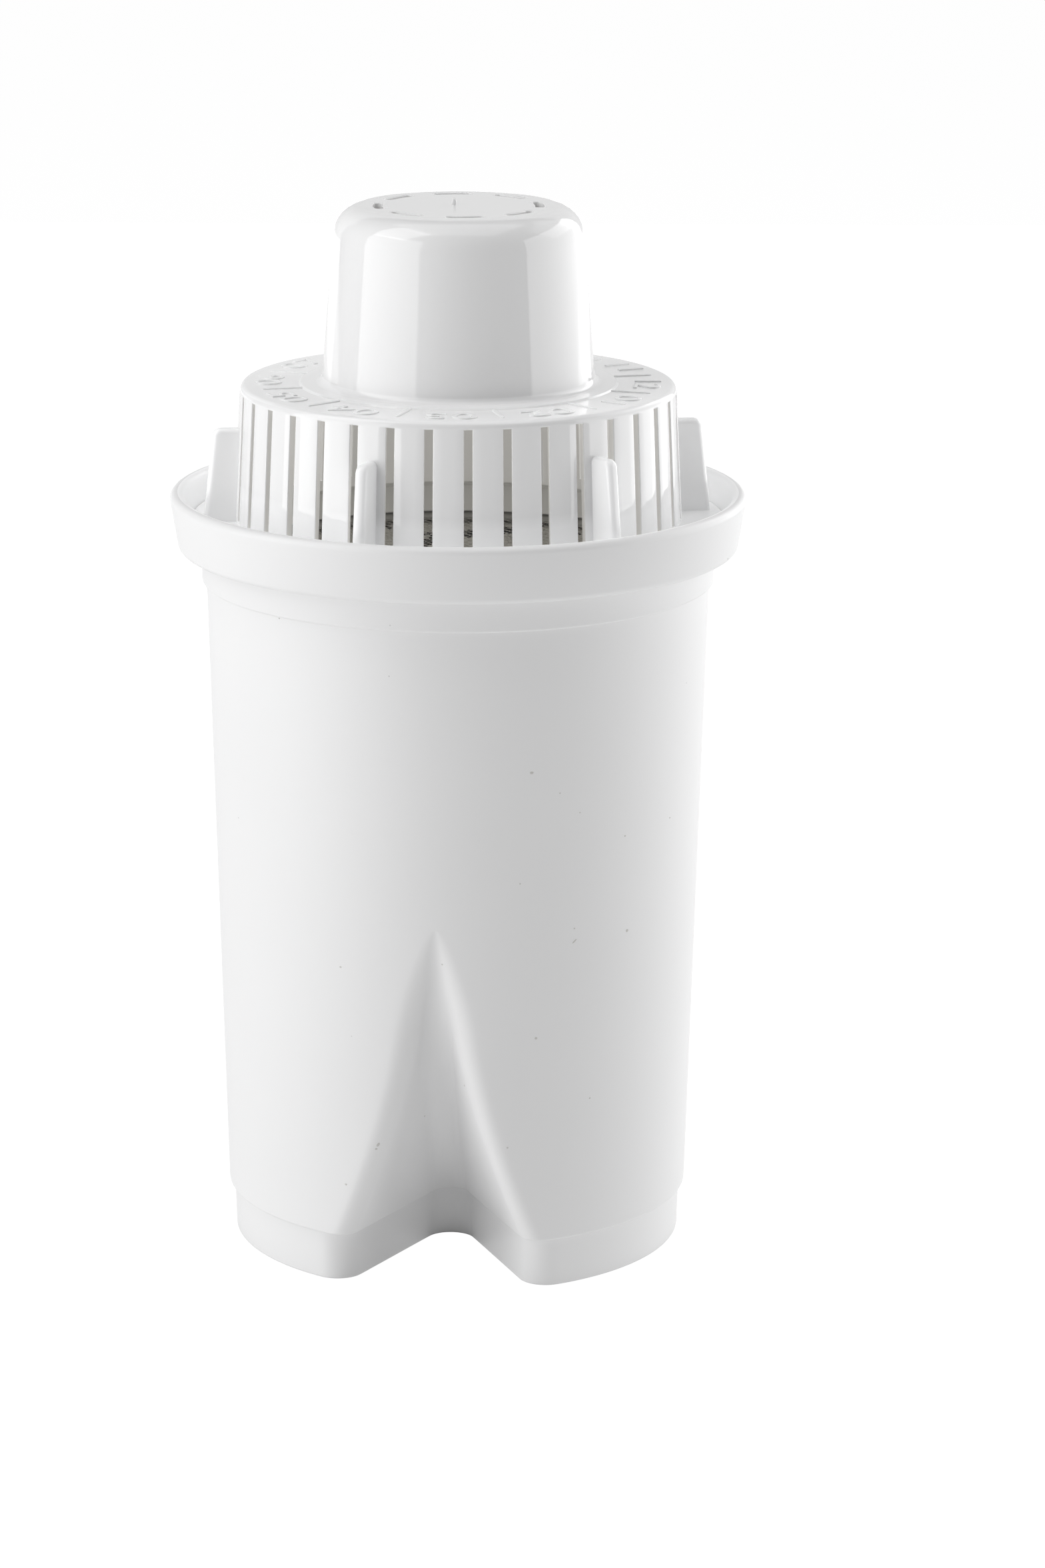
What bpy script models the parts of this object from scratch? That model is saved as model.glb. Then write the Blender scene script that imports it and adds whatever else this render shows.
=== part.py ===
"""A drop-in water filter cartridge for a pitcher, as five pieces that come apart on a bench:
the cup, the cap that seats in its mouth, the two screens and the bed of granules between them.

Metres, +Z up, origin in the middle of the base. Azimuth 0 looks along -Y, from the axis towards
the front notch, and grows towards +X.
"""

import math

import bmesh
import bpy
from mathutils import Matrix

# Cup, outside
FOOT_HEIGHT = 0.00655
FOOT_INSET = 0.0007
FOOT_FLARE = 0.0002
BODY_HEIGHT = 0.08165
BODY_TOP_RADIUS = 0.0327
BODY_DRAFT = math.radians(1.61)
COLLAR_STEP = 0.0006
COLLAR_HEIGHT = 0.0042
LEDGE_WIDTH = 0.0030
LEDGE_ROUND = 0.0009
RIM_HEIGHT = 0.0074
RIM_FLARE = 0.0012
RIM_WALL = 0.00175
RIM_FOOT_WALL = 0.00144

# Cup, inside and base
CUP_WALL = 0.0012
BASE_THICKNESS = 0.0022
BASE_BORDER = 0.0032
BASE_RECESS = 0.0008
GRILLE_ROWS = 5
GRILLE_FIRST_RADIUS = 0.0100
GRILLE_LAND = 0.0023
GRILLE_SLOT = 0.0012
GRILLE_MARGIN = 0.0046
GRILLE_RIB = 0.0020

# The two notches that make the base an hourglass, front and back
NOTCH_HALF_ANGLE = math.radians(25.5)
NOTCH_DEPTH_LEFT = 0.0020
NOTCH_HEIGHT = 0.0493
NOTCH_BOW = 0.0049
NOTCH_APEX_ROUND = 0.0031
NOTCH_EDGE_ROUND = 0.0036
NOTCH_BODY_APEX = 0.0024
NOTCH_BODY_ROUND = 0.0024
SMALLEST_ROUND = 0.0001
FILLET_SHARE = 0.97

# Cap
CAP_TURN = math.radians(-17.3)
CAP_WALL = 0.0012
FUNNEL_DEPTH = 0.0034
FLANGE_THICKNESS = 0.0014
FLANGE_WIDTH = 0.0055
SKIRT_LENGTH = 0.0043
CROWN_HEIGHT = 0.0175
CROWN_DRAFT = math.radians(2.8)
CROWN_EDGE_ROUND = 0.0008
SHOULDER_THICKNESS = 0.0009
HUB_RADIUS = 0.0204
HUB_STEP = 0.00025
DOME_HEIGHT = 0.0230
DOME_RADIUS = 0.01765
DOME_DRAFT = math.radians(4.4)
DOME_TOP_ROUND = 0.0039
DOME_FOOT_ROUND = 0.0016

# What repeats round the cap
SLOT_COUNT = 36
SLOT_WIDTH = 0.00107
SLOT_HEAD = 0.0010
SLOT_SILL = 0.0003
FIN_COUNT = 6
FIN_THICKNESS = 0.00165
FIN_HEIGHT = 0.0122
FIN_BASE_DEPTH = 0.0042
FIN_TOP_DEPTH = 0.0034
FIN_CORNER_ROUND = 0.0012
FIN_EDGE_ROUND = 0.0005
DIVIDER_COUNT = 12
DIVIDER_WIDTH = 0.0007
DIVIDER_HEIGHT = 0.0003
DIVIDER_MARGIN = 0.0012
VENT_COUNT = 8
VENT_RADIUS = 0.0104
VENT_WIDTH = 0.00117
VENT_ARC = math.radians(28)
VENT_TURN = math.radians(27)
GATE_RADIUS = 0.00045
GATE_HEIGHT = 0.0009
GATE_OFFSET = -0.0006
GATE_SEGMENTS = 10

# Inserts, and the clearances between pieces
INLET_SCREEN_THICKNESS = 0.0005
OUTLET_SCREEN_THICKNESS = 0.0008
SEAT_GAP = 0.0003

# Levels worked out from the driving dimensions
COLLAR_FOOT = FOOT_HEIGHT + BODY_HEIGHT
LEDGE_LEVEL = COLLAR_FOOT + COLLAR_HEIGHT
RIM_TOP = LEDGE_LEVEL + RIM_HEIGHT
FUNNEL_FLOOR = RIM_TOP - FUNNEL_DEPTH
SHELF_LEVEL = FUNNEL_FLOOR - FLANGE_THICKNESS - SEAT_GAP
SKIRT_FOOT = FUNNEL_FLOOR - FLANGE_THICKNESS - SKIRT_LENGTH
INLET_SCREEN_LEVEL = SKIRT_FOOT - SEAT_GAP - INLET_SCREEN_THICKNESS
SCREEN_LEDGE_LEVEL = INLET_SCREEN_LEVEL - SEAT_GAP
COLLAR_RADIUS = BODY_TOP_RADIUS + COLLAR_STEP
LEDGE_RADIUS = COLLAR_RADIUS + LEDGE_WIDTH
RIM_RADIUS = LEDGE_RADIUS + RIM_FLARE
BORE_RADIUS = COLLAR_RADIUS - CUP_WALL
RECESS_RADIUS = LEDGE_RADIUS - RIM_FOOT_WALL
FLANGE_RADIUS = RECESS_RADIUS - SEAT_GAP
CROWN_FOOT_RADIUS = FLANGE_RADIUS - FLANGE_WIDTH
CROWN_TOP_RADIUS = CROWN_FOOT_RADIUS - CROWN_HEIGHT * math.tan(CROWN_DRAFT)
FOOT_TOP_RADIUS = BODY_TOP_RADIUS - BODY_HEIGHT * math.tan(BODY_DRAFT) - FOOT_INSET
FOOT_BOTTOM_RADIUS = FOOT_TOP_RADIUS - FOOT_FLARE
GRILLE_LAST_RADIUS = FOOT_BOTTOM_RADIUS - BASE_BORDER - GRILLE_LAND
GRILLE_PITCH = (GRILLE_LAST_RADIUS - GRILLE_FIRST_RADIUS) / (GRILLE_ROWS - 1)
NOTCH_FOOT = NOTCH_DEPTH_LEFT + FOOT_INSET / math.sin(NOTCH_HALF_ANGLE)

# How finely the round shapes are cut into flat faces
CUP_DETAIL = {"apex": 4, "corner": 4, "arc": 12}
INSERT_DETAIL = {"apex": 4, "corner": 2, "arc": 8}
NOTCH_LEVELS = 8
CAP_SEGMENTS = 72
MERGE_DISTANCE = 1e-6
SHARP_ANGLE = math.radians(30)


def clear_scene():
    """Take every object out of the scene that the script starts in."""
    for item in list(bpy.data.objects):
        bpy.data.objects.remove(item, do_unlink=True)


def plastic(name, colour, roughness):
    """A moulded or granular material of one colour."""
    made = bpy.data.materials.new(name)
    made.use_nodes = True
    shader = made.node_tree.nodes["Principled BSDF"]
    shader.inputs["Base Color"].default_value = (*colour, 1.0)
    shader.inputs["Roughness"].default_value = roughness
    shader.inputs["Metallic"].default_value = 0.0
    made.diffuse_color = (*colour, 1.0)
    return made


def place(name, shape, parent=None, material=None, height=0.0, turn=0.0):
    """Turn a bmesh into an object that stands at a height on the axis."""
    mesh = bpy.data.meshes.new(name)
    bmesh.ops.recalc_face_normals(shape, faces=shape.faces)
    shape.to_mesh(mesh)
    shape.free()
    mesh.shade_smooth()
    mesh.set_sharp_from_angle(angle=SHARP_ANGLE)
    made = bpy.data.objects.new(name, mesh)
    bpy.context.scene.collection.objects.link(made)
    made.location.z = height
    made.rotation_euler.z = turn
    made.parent = parent
    if material:
        mesh.materials.append(material)
    return made


def helper(name, shape, height=0.0, turn=0.0):
    """An operand for a Boolean, left out of the finished part."""
    made = place(name, shape, height=height, turn=turn)
    made.hide_render = True
    made.display_type = "WIRE"
    return made


def combine(target, other, operation):
    """Join another body to a piece, or cut it away."""
    step = target.modifiers.new(other.name, "BOOLEAN")
    step.operation = operation
    step.solver = "EXACT"
    step.object = other


def arc(centre, radius, first, last, steps):
    """Points on an arc in the plane of radius and height, angles from the outward direction."""
    angles = [first + (last - first) * step / steps for step in range(steps + 1)]
    return [
        (centre[0] + radius * math.cos(angle), centre[1] + radius * math.sin(angle))
        for angle in angles
    ]


def quarter_outline(radius, apex, apex_round, edge_round, detail):
    """A quarter of the plan outline, from the middle of the notch to the side of the cup.

    Points are (across, outward). The notch is a V whose sharp corner would lie at the distance
    apex from the axis. Its corner is rounded, it runs straight, and it rounds off into the circle.
    Where it is shallow the two roundings meet without a straight, and where the round in its
    corner no longer reaches the circle there is no notch, and its points meet on the circle.
    """
    sine, cosine = math.sin(NOTCH_HALF_ANGLE), math.cos(NOTCH_HALF_ANGLE)
    heart = apex + apex_round / sine
    if heart - apex_round >= radius:
        notch = [(0.0, radius)] * (detail["apex"] + detail["corner"] + 2)
        corner_azimuth = 0.0
    else:
        orbit = radius - edge_round
        inside = orbit**2 - (apex * sine) ** 2 + 2 * apex * edge_round * sine - edge_round**2
        reach = math.sqrt(max(inside, 0.0)) - apex * cosine
        if reach > apex_round / math.tan(NOTCH_HALF_ANGLE):
            across = edge_round * cosine + reach * sine
            outward = apex - edge_round * sine + reach * cosine
            sweep = math.pi / 2 - NOTCH_HALF_ANGLE
        else:
            outward = (orbit**2 - (apex_round + edge_round) ** 2 + heart**2) / (2 * heart)
            across = math.sqrt(orbit**2 - outward**2)
            sweep = math.atan2(across, heart - outward)
        sweep *= FILLET_SHARE
        turns = [sweep * i / detail["apex"] for i in range(detail["apex"] + 1)]
        notch = [(apex_round * math.sin(t), heart - apex_round * math.cos(t)) for t in turns]
        corner_azimuth = math.atan2(across, outward)
        whole = corner_azimuth + sweep
        turns = [whole * i / detail["corner"] - sweep for i in range(detail["corner"] + 1)]
        notch += [(across + edge_round * math.sin(t), outward + edge_round * math.cos(t)) for t in turns]
    rest = math.pi / 2 - corner_azimuth
    turns = [corner_azimuth + rest * i / detail["arc"] for i in range(1, detail["arc"] + 1)]
    return notch + [(radius * math.sin(t), radius * math.cos(t)) for t in turns]


def outline(height, radius, apex, apex_round, edge_round, detail):
    """The whole plan outline at a height, anticlockwise from the middle of the front notch."""
    quarter = quarter_outline(radius, apex, apex_round, edge_round, detail)
    right = [(x, -y) for x, y in quarter] + [(x, y) for x, y in reversed(quarter[:-1])]
    left = [(-x, y) for x, y in reversed(right[1:-1])]
    return [(x, y, height) for x, y in right + left]


def foot_outline(height, inset, detail):
    """The plain band at the foot: its notch doesn't change with height."""
    radius = FOOT_BOTTOM_RADIUS + (FOOT_TOP_RADIUS - FOOT_BOTTOM_RADIUS) * height / FOOT_HEIGHT
    apex = NOTCH_DEPTH_LEFT - inset / math.sin(NOTCH_HALF_ANGLE)
    edge_round = max(NOTCH_EDGE_ROUND - inset, SMALLEST_ROUND)
    return outline(height, radius - inset, apex, NOTCH_APEX_ROUND + inset, edge_round, detail)


def body_radius(height):
    """The outside of the tapered body."""
    return BODY_TOP_RADIUS - (COLLAR_FOOT - height) * math.tan(BODY_DRAFT)


def notch_corner(height):
    """How far from the axis the V's sharp corner lies in the body.

    It goes from its place at the foot to where its rounding leaves the wall, and bulges outward
    between them by the bow.
    """
    gone = (height - FOOT_HEIGHT) / (NOTCH_HEIGHT - FOOT_HEIGHT)
    last = body_radius(NOTCH_HEIGHT) - NOTCH_BODY_APEX * (1 / math.sin(NOTCH_HALF_ANGLE) - 1)
    return NOTCH_FOOT + (last - NOTCH_FOOT) * gone + 4 * NOTCH_BOW * gone * (1 - gone)


def body_outline(height, inset, detail):
    """The body above the foot: the notch leans outward until it runs out of the wall at its tip."""
    apex = notch_corner(height) - inset / math.sin(NOTCH_HALF_ANGLE)
    edge_round = max(NOTCH_BODY_ROUND - inset, SMALLEST_ROUND)
    return outline(height, body_radius(height) - inset, apex, NOTCH_BODY_APEX + inset, edge_round, detail)


def ring(height, radius, detail):
    """A plain round outline with the same points as the notched ones."""
    return outline(height, radius, radius, 0.0, 0.0, detail)


def notch_heights(first):
    """Heights from the first up to the tip of the notch, closer together where it rounds off."""
    shares = [math.sin(math.pi / 2 * i / NOTCH_LEVELS) for i in range(NOTCH_LEVELS + 1)]
    return [first + (NOTCH_HEIGHT - first) * share for share in shares]


def inside_outlines(bottom, top, inset, detail):
    """The outlines, from the bottom up, of a surface that lies an inset inside the cup's skin."""
    levels = [foot_outline(bottom, inset, detail), foot_outline(FOOT_HEIGHT - inset / 2, inset, detail)]
    levels += [body_outline(z, inset, detail) for z in notch_heights(FOOT_HEIGHT + inset / 2)]
    return levels + [ring(top, body_radius(top) - inset, detail)]


def skin(outlines):
    """A closed body through a run of outlines with equally many points, capped at both ends."""
    shape = bmesh.new()
    rows = [[shape.verts.new(point) for point in line] for line in outlines]
    for low, high in zip(rows, rows[1:]):
        for i in range(len(low)):
            shape.faces.new((low[i - 1], low[i], high[i], high[i - 1]))
    shape.faces.new(list(reversed(rows[0])))
    shape.faces.new(rows[-1])
    bmesh.ops.remove_doubles(shape, verts=shape.verts, dist=MERGE_DISTANCE)
    return shape


def turned(profile, segments):
    """A solid of revolution from points of radius and height, the first and last on the axis."""
    shape = bmesh.new()
    points = [shape.verts.new((radius, 0.0, height)) for radius, height in profile]
    edges = [shape.edges.new(pair) for pair in zip(points, points[1:])]
    bmesh.ops.rotate(
        shape, verts=points, cent=(0, 0, 0), matrix=Matrix.Rotation(math.pi / segments, 3, "Z")
    )
    bmesh.ops.spin(
        shape, geom=points + edges, cent=(0, 0, 0), axis=(0, 0, 1), angle=2 * math.pi, steps=segments
    )
    bmesh.ops.remove_doubles(shape, verts=shape.verts, dist=MERGE_DISTANCE)
    return shape


def add_bar(shape, azimuth, near, far, width, bottom, top):
    """A radial block from one radius to another."""
    middle = Matrix.Translation((0.0, -(near + far) / 2, (bottom + top) / 2))
    size = Matrix.Diagonal((width, far - near, top - bottom, 1.0))
    bmesh.ops.create_cube(shape, size=1.0, matrix=Matrix.Rotation(azimuth, 4, "Z") @ middle @ size)


def add_arc_bar(shape, azimuth, sweep, radius, width, bottom, top, steps):
    """A curved block that follows a circle, for cutting an arc shaped slot."""
    near, far = radius - width / 2, radius + width / 2
    section = [(near, bottom), (far, bottom), (far, top), (near, top)]
    corners = [shape.verts.new((0.0, -r, z)) for r, z in section]
    bmesh.ops.rotate(
        shape, verts=corners, cent=(0, 0, 0), matrix=Matrix.Rotation(azimuth - sweep / 2, 3, "Z")
    )
    end = shape.faces.new(corners)
    bmesh.ops.spin(shape, geom=[end], cent=(0, 0, 0), axis=(0, 0, 1), angle=sweep, steps=steps)


def cup_outlines():
    """The cup's skin as one run of outlines: up the outside, over the lip and down the inside."""
    detail = CUP_DETAIL
    lip = RIM_WALL / 2
    outside = [foot_outline(0.0, 0.0, detail), foot_outline(FOOT_HEIGHT, 0.0, detail)]
    outside += [body_outline(z, 0.0, detail) for z in notch_heights(FOOT_HEIGHT)]
    profile = [
        (BODY_TOP_RADIUS, COLLAR_FOOT),
        (COLLAR_RADIUS, COLLAR_FOOT),
        (COLLAR_RADIUS, LEDGE_LEVEL),
    ]
    corner = (LEDGE_RADIUS - LEDGE_ROUND, LEDGE_LEVEL + LEDGE_ROUND)
    profile += arc(corner, LEDGE_ROUND, -math.pi / 2, 0.0, 3)
    profile += arc((RIM_RADIUS - lip, RIM_TOP - lip), lip, 0.0, math.pi, 6)
    profile += [
        (RECESS_RADIUS, FUNNEL_FLOOR + SEAT_GAP),
        (RECESS_RADIUS, SHELF_LEVEL),
        (BORE_RADIUS, SHELF_LEVEL),
        (BORE_RADIUS, SCREEN_LEDGE_LEVEL),
    ]
    inside = inside_outlines(BASE_THICKNESS, SCREEN_LEDGE_LEVEL, CUP_WALL, detail)
    return outside + [ring(z, radius, detail) for radius, z in profile] + list(reversed(inside))


def grille_cutter():
    """The outlet slots: rows of arcs in both lobes of the base, each split by a rib."""
    shape = bmesh.new()
    for row in range(GRILLE_ROWS):
        radius = GRILLE_FIRST_RADIUS + row * GRILLE_PITCH
        edge = NOTCH_HALF_ANGLE + math.asin(GRILLE_MARGIN / radius)
        rib = GRILLE_RIB / radius
        sweep = math.pi / 2 - edge - rib / 2
        for side in (-1, 1):
            for half in (-1, 1):
                azimuth = side * math.pi / 2 + half * (rib + sweep) / 2
                add_arc_bar(
                    shape, azimuth, sweep, radius, GRILLE_SLOT, -BASE_THICKNESS, 2 * BASE_THICKNESS, 4
                )
    return shape


def foot_plate(level, inset, bottom, top):
    """A flat plate with the hourglass outline that the foot has at a level, drawn in by an inset."""
    plan = foot_outline(level, inset, INSERT_DETAIL)
    return skin([[(x, y, z) for x, y, _ in plan] for z in (bottom, top)])


def build_cup(parent, material):
    """The cup: foot, tapered body with its two notches, collar, ledge and funnel rim in one piece."""
    cup = place("cup", skin(cup_outlines()), parent, material)
    recess = foot_plate(0.0, BASE_BORDER, -BASE_THICKNESS, BASE_RECESS)
    combine(cup, helper("base_recess_cutter", recess), "DIFFERENCE")
    combine(cup, helper("grille_cutter", grille_cutter()), "DIFFERENCE")
    return cup


def cap_profile():
    """The cap's wall, from the middle of its top down the outside, round the skirt and back inside.

    Heights are from the funnel's floor, which is the top of the flange.
    """
    shoulder, top = CROWN_HEIGHT, CROWN_HEIGHT + DOME_HEIGHT
    hub = shoulder + HUB_STEP
    lean = math.tan(DOME_DRAFT)
    inward = 1 / math.cos(DOME_DRAFT)

    def dome_side(height):
        return DOME_RADIUS - (height - shoulder) * lean

    def dome_corner(round_radius, wall):
        level = top - wall - round_radius
        return dome_side(level) - (round_radius + wall) * inward, level

    outside = arc(dome_corner(DOME_TOP_ROUND, 0.0), DOME_TOP_ROUND, math.pi / 2, DOME_DRAFT, 5)
    foot_level = hub + DOME_FOOT_ROUND
    foot = (dome_side(foot_level) + DOME_FOOT_ROUND * inward, foot_level)
    outside += arc(foot, DOME_FOOT_ROUND, math.pi + DOME_DRAFT, 1.5 * math.pi, 3)
    outside += [(HUB_RADIUS, hub), (HUB_RADIUS + HUB_STEP, shoulder)]
    edge = (CROWN_TOP_RADIUS - CROWN_EDGE_ROUND, shoulder - CROWN_EDGE_ROUND)
    outside += arc(edge, CROWN_EDGE_ROUND, math.pi / 2, CROWN_DRAFT, 3)

    skirt = BORE_RADIUS - SEAT_GAP
    skirt_bottom = SKIRT_FOOT - FUNNEL_FLOOR
    outside += [
        (CROWN_FOOT_RADIUS, 0.0),
        (FLANGE_RADIUS, 0.0),
        (FLANGE_RADIUS, -FLANGE_THICKNESS),
        (skirt, -FLANGE_THICKNESS),
        (skirt, skirt_bottom),
    ]
    inner_round = DOME_TOP_ROUND - CAP_WALL
    ceiling = shoulder - SHOULDER_THICKNESS
    inside = [
        (skirt - CAP_WALL, skirt_bottom),
        (skirt - CAP_WALL, -FLANGE_THICKNESS - CAP_WALL / 2),
        (CROWN_FOOT_RADIUS - CAP_WALL, -CAP_WALL),
        (CROWN_TOP_RADIUS - CAP_WALL, ceiling),
        (dome_side(ceiling) - CAP_WALL * inward, ceiling),
    ]
    inside += arc(dome_corner(inner_round, CAP_WALL), inner_round, DOME_DRAFT, math.pi / 2, 3)
    return [(0.0, top)] + outside + inside + [(0.0, top - CAP_WALL)]


def add_fin(shape, azimuth):
    """One upright fin on the flange, with a round shoulder and soft edges."""
    root = CROWN_TOP_RADIUS - CAP_WALL / 2
    base_reach = CROWN_FOOT_RADIUS + FIN_BASE_DEPTH
    top_reach = CROWN_TOP_RADIUS + (CROWN_HEIGHT - FIN_HEIGHT) * math.tan(CROWN_DRAFT) + FIN_TOP_DEPTH
    centre = (top_reach - FIN_CORNER_ROUND, FIN_HEIGHT - FIN_CORNER_ROUND)
    side = [(root, -FLANGE_THICKNESS / 2), (base_reach, -FLANGE_THICKNESS / 2), (base_reach, 0.0)]
    side += arc(centre, FIN_CORNER_ROUND, 0.0, math.pi / 2, 3) + [(root, FIN_HEIGHT)]
    half = FIN_THICKNESS / 2
    near = [shape.verts.new((-half, -r, z)) for r, z in side]
    far = [shape.verts.new((half, -r, z)) for r, z in side]
    rims = []
    for loop in (near, far):
        rims += shape.faces.new(loop).edges
    for i in range(len(side)):
        shape.faces.new((near[i - 1], near[i], far[i], far[i - 1]))
    made = bmesh.ops.bevel(
        shape, geom=rims, offset=FIN_EDGE_ROUND, segments=2, profile=0.5, affect="EDGES"
    )
    corners = {corner for face in made["faces"] for corner in face.verts}
    grown = {corner for vert in corners for face in vert.link_faces for corner in face.verts}
    bmesh.ops.rotate(
        shape, verts=list(corners | grown), cent=(0, 0, 0), matrix=Matrix.Rotation(azimuth, 3, "Z")
    )


def add_gate_mark(shape):
    """The nub that the mould's gate leaves near the middle of the dome."""
    top, sunk = CROWN_HEIGHT + DOME_HEIGHT, CAP_WALL / 2
    place_on_dome = Matrix.Translation((GATE_OFFSET, 0.0, top + (GATE_HEIGHT - sunk) / 2))
    bmesh.ops.create_cone(
        shape, cap_ends=True, segments=GATE_SEGMENTS, radius1=GATE_RADIUS, radius2=GATE_RADIUS / 2,
        depth=GATE_HEIGHT + sunk, matrix=Matrix.Rotation(-CAP_TURN, 4, "Z") @ place_on_dome
    )


def raised_details():
    """What stands up from the cap: its fins, the dividers of its dial and the mark of its gate."""
    shape = bmesh.new()
    for i in range(FIN_COUNT):
        add_fin(shape, 2 * math.pi * i / FIN_COUNT)
    near = HUB_RADIUS - DIVIDER_WIDTH / 2
    far = CROWN_TOP_RADIUS - DIVIDER_MARGIN
    bottom, top = CROWN_HEIGHT - SHOULDER_THICKNESS / 2, CROWN_HEIGHT + DIVIDER_HEIGHT
    first = math.pi / SLOT_COUNT
    for i in range(DIVIDER_COUNT):
        add_bar(shape, first + 2 * math.pi * i / DIVIDER_COUNT, near, far, DIVIDER_WIDTH, bottom, top)
    add_gate_mark(shape)
    return shape


def slot_cutter():
    """Upright slots all round the crown, midway between the directions of the fins."""
    shape = bmesh.new()
    near, far = CROWN_TOP_RADIUS - 2 * CAP_WALL, CROWN_FOOT_RADIUS + CAP_WALL
    for i in range(SLOT_COUNT):
        azimuth = 2 * math.pi * (i + 0.5) / SLOT_COUNT
        add_bar(shape, azimuth, near, far, SLOT_WIDTH, SLOT_SILL, CROWN_HEIGHT - SLOT_HEAD)
    return shape


def vent_cutter():
    """Arc shaped air vents in the top of the dome."""
    shape = bmesh.new()
    top = CROWN_HEIGHT + DOME_HEIGHT
    for i in range(VENT_COUNT):
        azimuth = VENT_TURN + 2 * math.pi * i / VENT_COUNT
        add_arc_bar(
            shape, azimuth, VENT_ARC, VENT_RADIUS, VENT_WIDTH, top - 2 * CAP_WALL, top + CAP_WALL, 5
        )
    return shape


def build_cap(parent, material):
    """The cap: skirt, flange, slotted crown and hollow dome in one piece, seated in the cup's mouth."""
    cap = place("cap", turned(cap_profile(), CAP_SEGMENTS), parent, material, FUNNEL_FLOOR, CAP_TURN)
    steps = (
        ("cap_raised_details", raised_details(), "UNION"),
        ("slot_cutter", slot_cutter(), "DIFFERENCE"),
        ("vent_cutter", vent_cutter(), "DIFFERENCE"),
    )
    for name, shape, operation in steps:
        combine(cap, helper(name, shape, FUNNEL_FLOOR, CAP_TURN), operation)
    return cap


def build_inlet_screen(parent, material):
    """The woven disc that the cap's skirt holds down on the ledge inside the collar."""
    radius, thickness = BORE_RADIUS - SEAT_GAP, INLET_SCREEN_THICKNESS
    profile = [(0.0, thickness), (radius, thickness), (radius, 0.0), (0.0, 0.0)]
    shape = turned(profile, CAP_SEGMENTS)
    return place("inlet_screen", shape, parent, material, INLET_SCREEN_LEVEL)


def build_outlet_screen(parent, material):
    """The hourglass pad that lies on the grille and keeps the granules in."""
    pad = foot_plate(BASE_THICKNESS, CUP_WALL + SEAT_GAP, 0.0, OUTLET_SCREEN_THICKNESS)
    return place("outlet_screen", pad, parent, material, BASE_THICKNESS + SEAT_GAP)


def build_granule_bed(parent, material):
    """The carbon and resin granules, which fill the cup between the two screens."""
    bottom = BASE_THICKNESS + OUTLET_SCREEN_THICKNESS + 2 * SEAT_GAP
    levels = inside_outlines(bottom, SCREEN_LEDGE_LEVEL, CUP_WALL + SEAT_GAP, INSERT_DETAIL)
    return place("granule_bed", skin(levels), parent, material)


def main():
    clear_scene()
    cartridge = bpy.data.objects.new("cartridge", None)
    bpy.context.scene.collection.objects.link(cartridge)
    build_cup(cartridge, plastic("cup_plastic", (0.86, 0.86, 0.85), 0.38))
    build_cap(cartridge, plastic("cap_plastic", (0.88, 0.88, 0.87), 0.22))
    build_inlet_screen(cartridge, plastic("screen_mesh", (0.62, 0.61, 0.59), 0.55))
    build_outlet_screen(cartridge, plastic("screen_fleece", (0.80, 0.80, 0.78), 0.80))
    build_granule_bed(cartridge, plastic("granules", (0.05, 0.05, 0.05), 0.60))


main()
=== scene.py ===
# %% [markdown]
# # A water filter cartridge, dressed for its photograph
#
# The packed model already holds the cartridge as it is built: a cup, a cap that seats in its
# mouth, two screens, and the granules between them. This notebook gives each piece the rounded
# edges, the small raised marks and the finish that the real one shows. Every shape is a surface
# worked out with numpy from named sizes, and every finish is a short expression of shader nodes.

import math

import bmesh
import bpy
import numpy as np
from mathutils import Matrix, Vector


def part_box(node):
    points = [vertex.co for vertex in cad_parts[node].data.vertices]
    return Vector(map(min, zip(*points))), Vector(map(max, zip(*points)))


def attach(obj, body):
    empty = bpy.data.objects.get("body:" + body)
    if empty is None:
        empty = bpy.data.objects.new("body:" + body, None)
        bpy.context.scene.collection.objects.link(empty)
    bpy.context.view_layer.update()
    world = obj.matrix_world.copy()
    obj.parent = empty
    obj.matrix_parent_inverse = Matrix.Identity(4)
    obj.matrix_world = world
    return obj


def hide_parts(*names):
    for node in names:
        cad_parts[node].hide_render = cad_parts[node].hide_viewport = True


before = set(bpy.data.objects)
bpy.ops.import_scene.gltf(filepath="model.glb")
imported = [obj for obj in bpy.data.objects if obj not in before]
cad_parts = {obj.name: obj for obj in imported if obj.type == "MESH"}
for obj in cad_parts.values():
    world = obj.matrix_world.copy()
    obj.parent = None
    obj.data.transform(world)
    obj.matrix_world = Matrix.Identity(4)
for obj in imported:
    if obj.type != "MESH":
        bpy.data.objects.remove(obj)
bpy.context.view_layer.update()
print("CAD nodes:", ", ".join(sorted(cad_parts)))

# %% [markdown]
# ## Where things are
#
# Directions round the axis are given as an azimuth: 0 looks along -Y, from the axis to the front
# notch, and it grows towards +X. A point is then a radius, an azimuth and a height. The levels
# that matter most are read from the packed model, so a piece here always meets its neighbours.

# %% Levels and radii from the packed model
MM = 0.001


def node_size(name):
    """The lowest level, the highest level and the largest radius along X of a CAD node."""
    low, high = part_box(name)
    return low.z, high.z, high.x


_, RIM_TOP, RIM_RADIUS = node_size("cup")
SKIRT_FOOT, NUB_TOP, FLANGE_RADIUS = node_size("cap")
SCREEN_FOOT, SCREEN_TOP, SCREEN_RADIUS = node_size("inlet_screen")
BED_FOOT, BED_TOP, BED_RADIUS = node_size("granule_bed")
GATE_HEIGHT = 0.9 * MM
DOME_HEIGHT = 23.0 * MM
CROWN_HEIGHT = 17.5 * MM
DOME_TOP = NUB_TOP - GATE_HEIGHT
FUNNEL_FLOOR = DOME_TOP - DOME_HEIGHT - CROWN_HEIGHT
print(f"rim top {RIM_TOP / MM:.1f} mm, funnel floor {FUNNEL_FLOOR / MM:.1f} mm")


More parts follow.
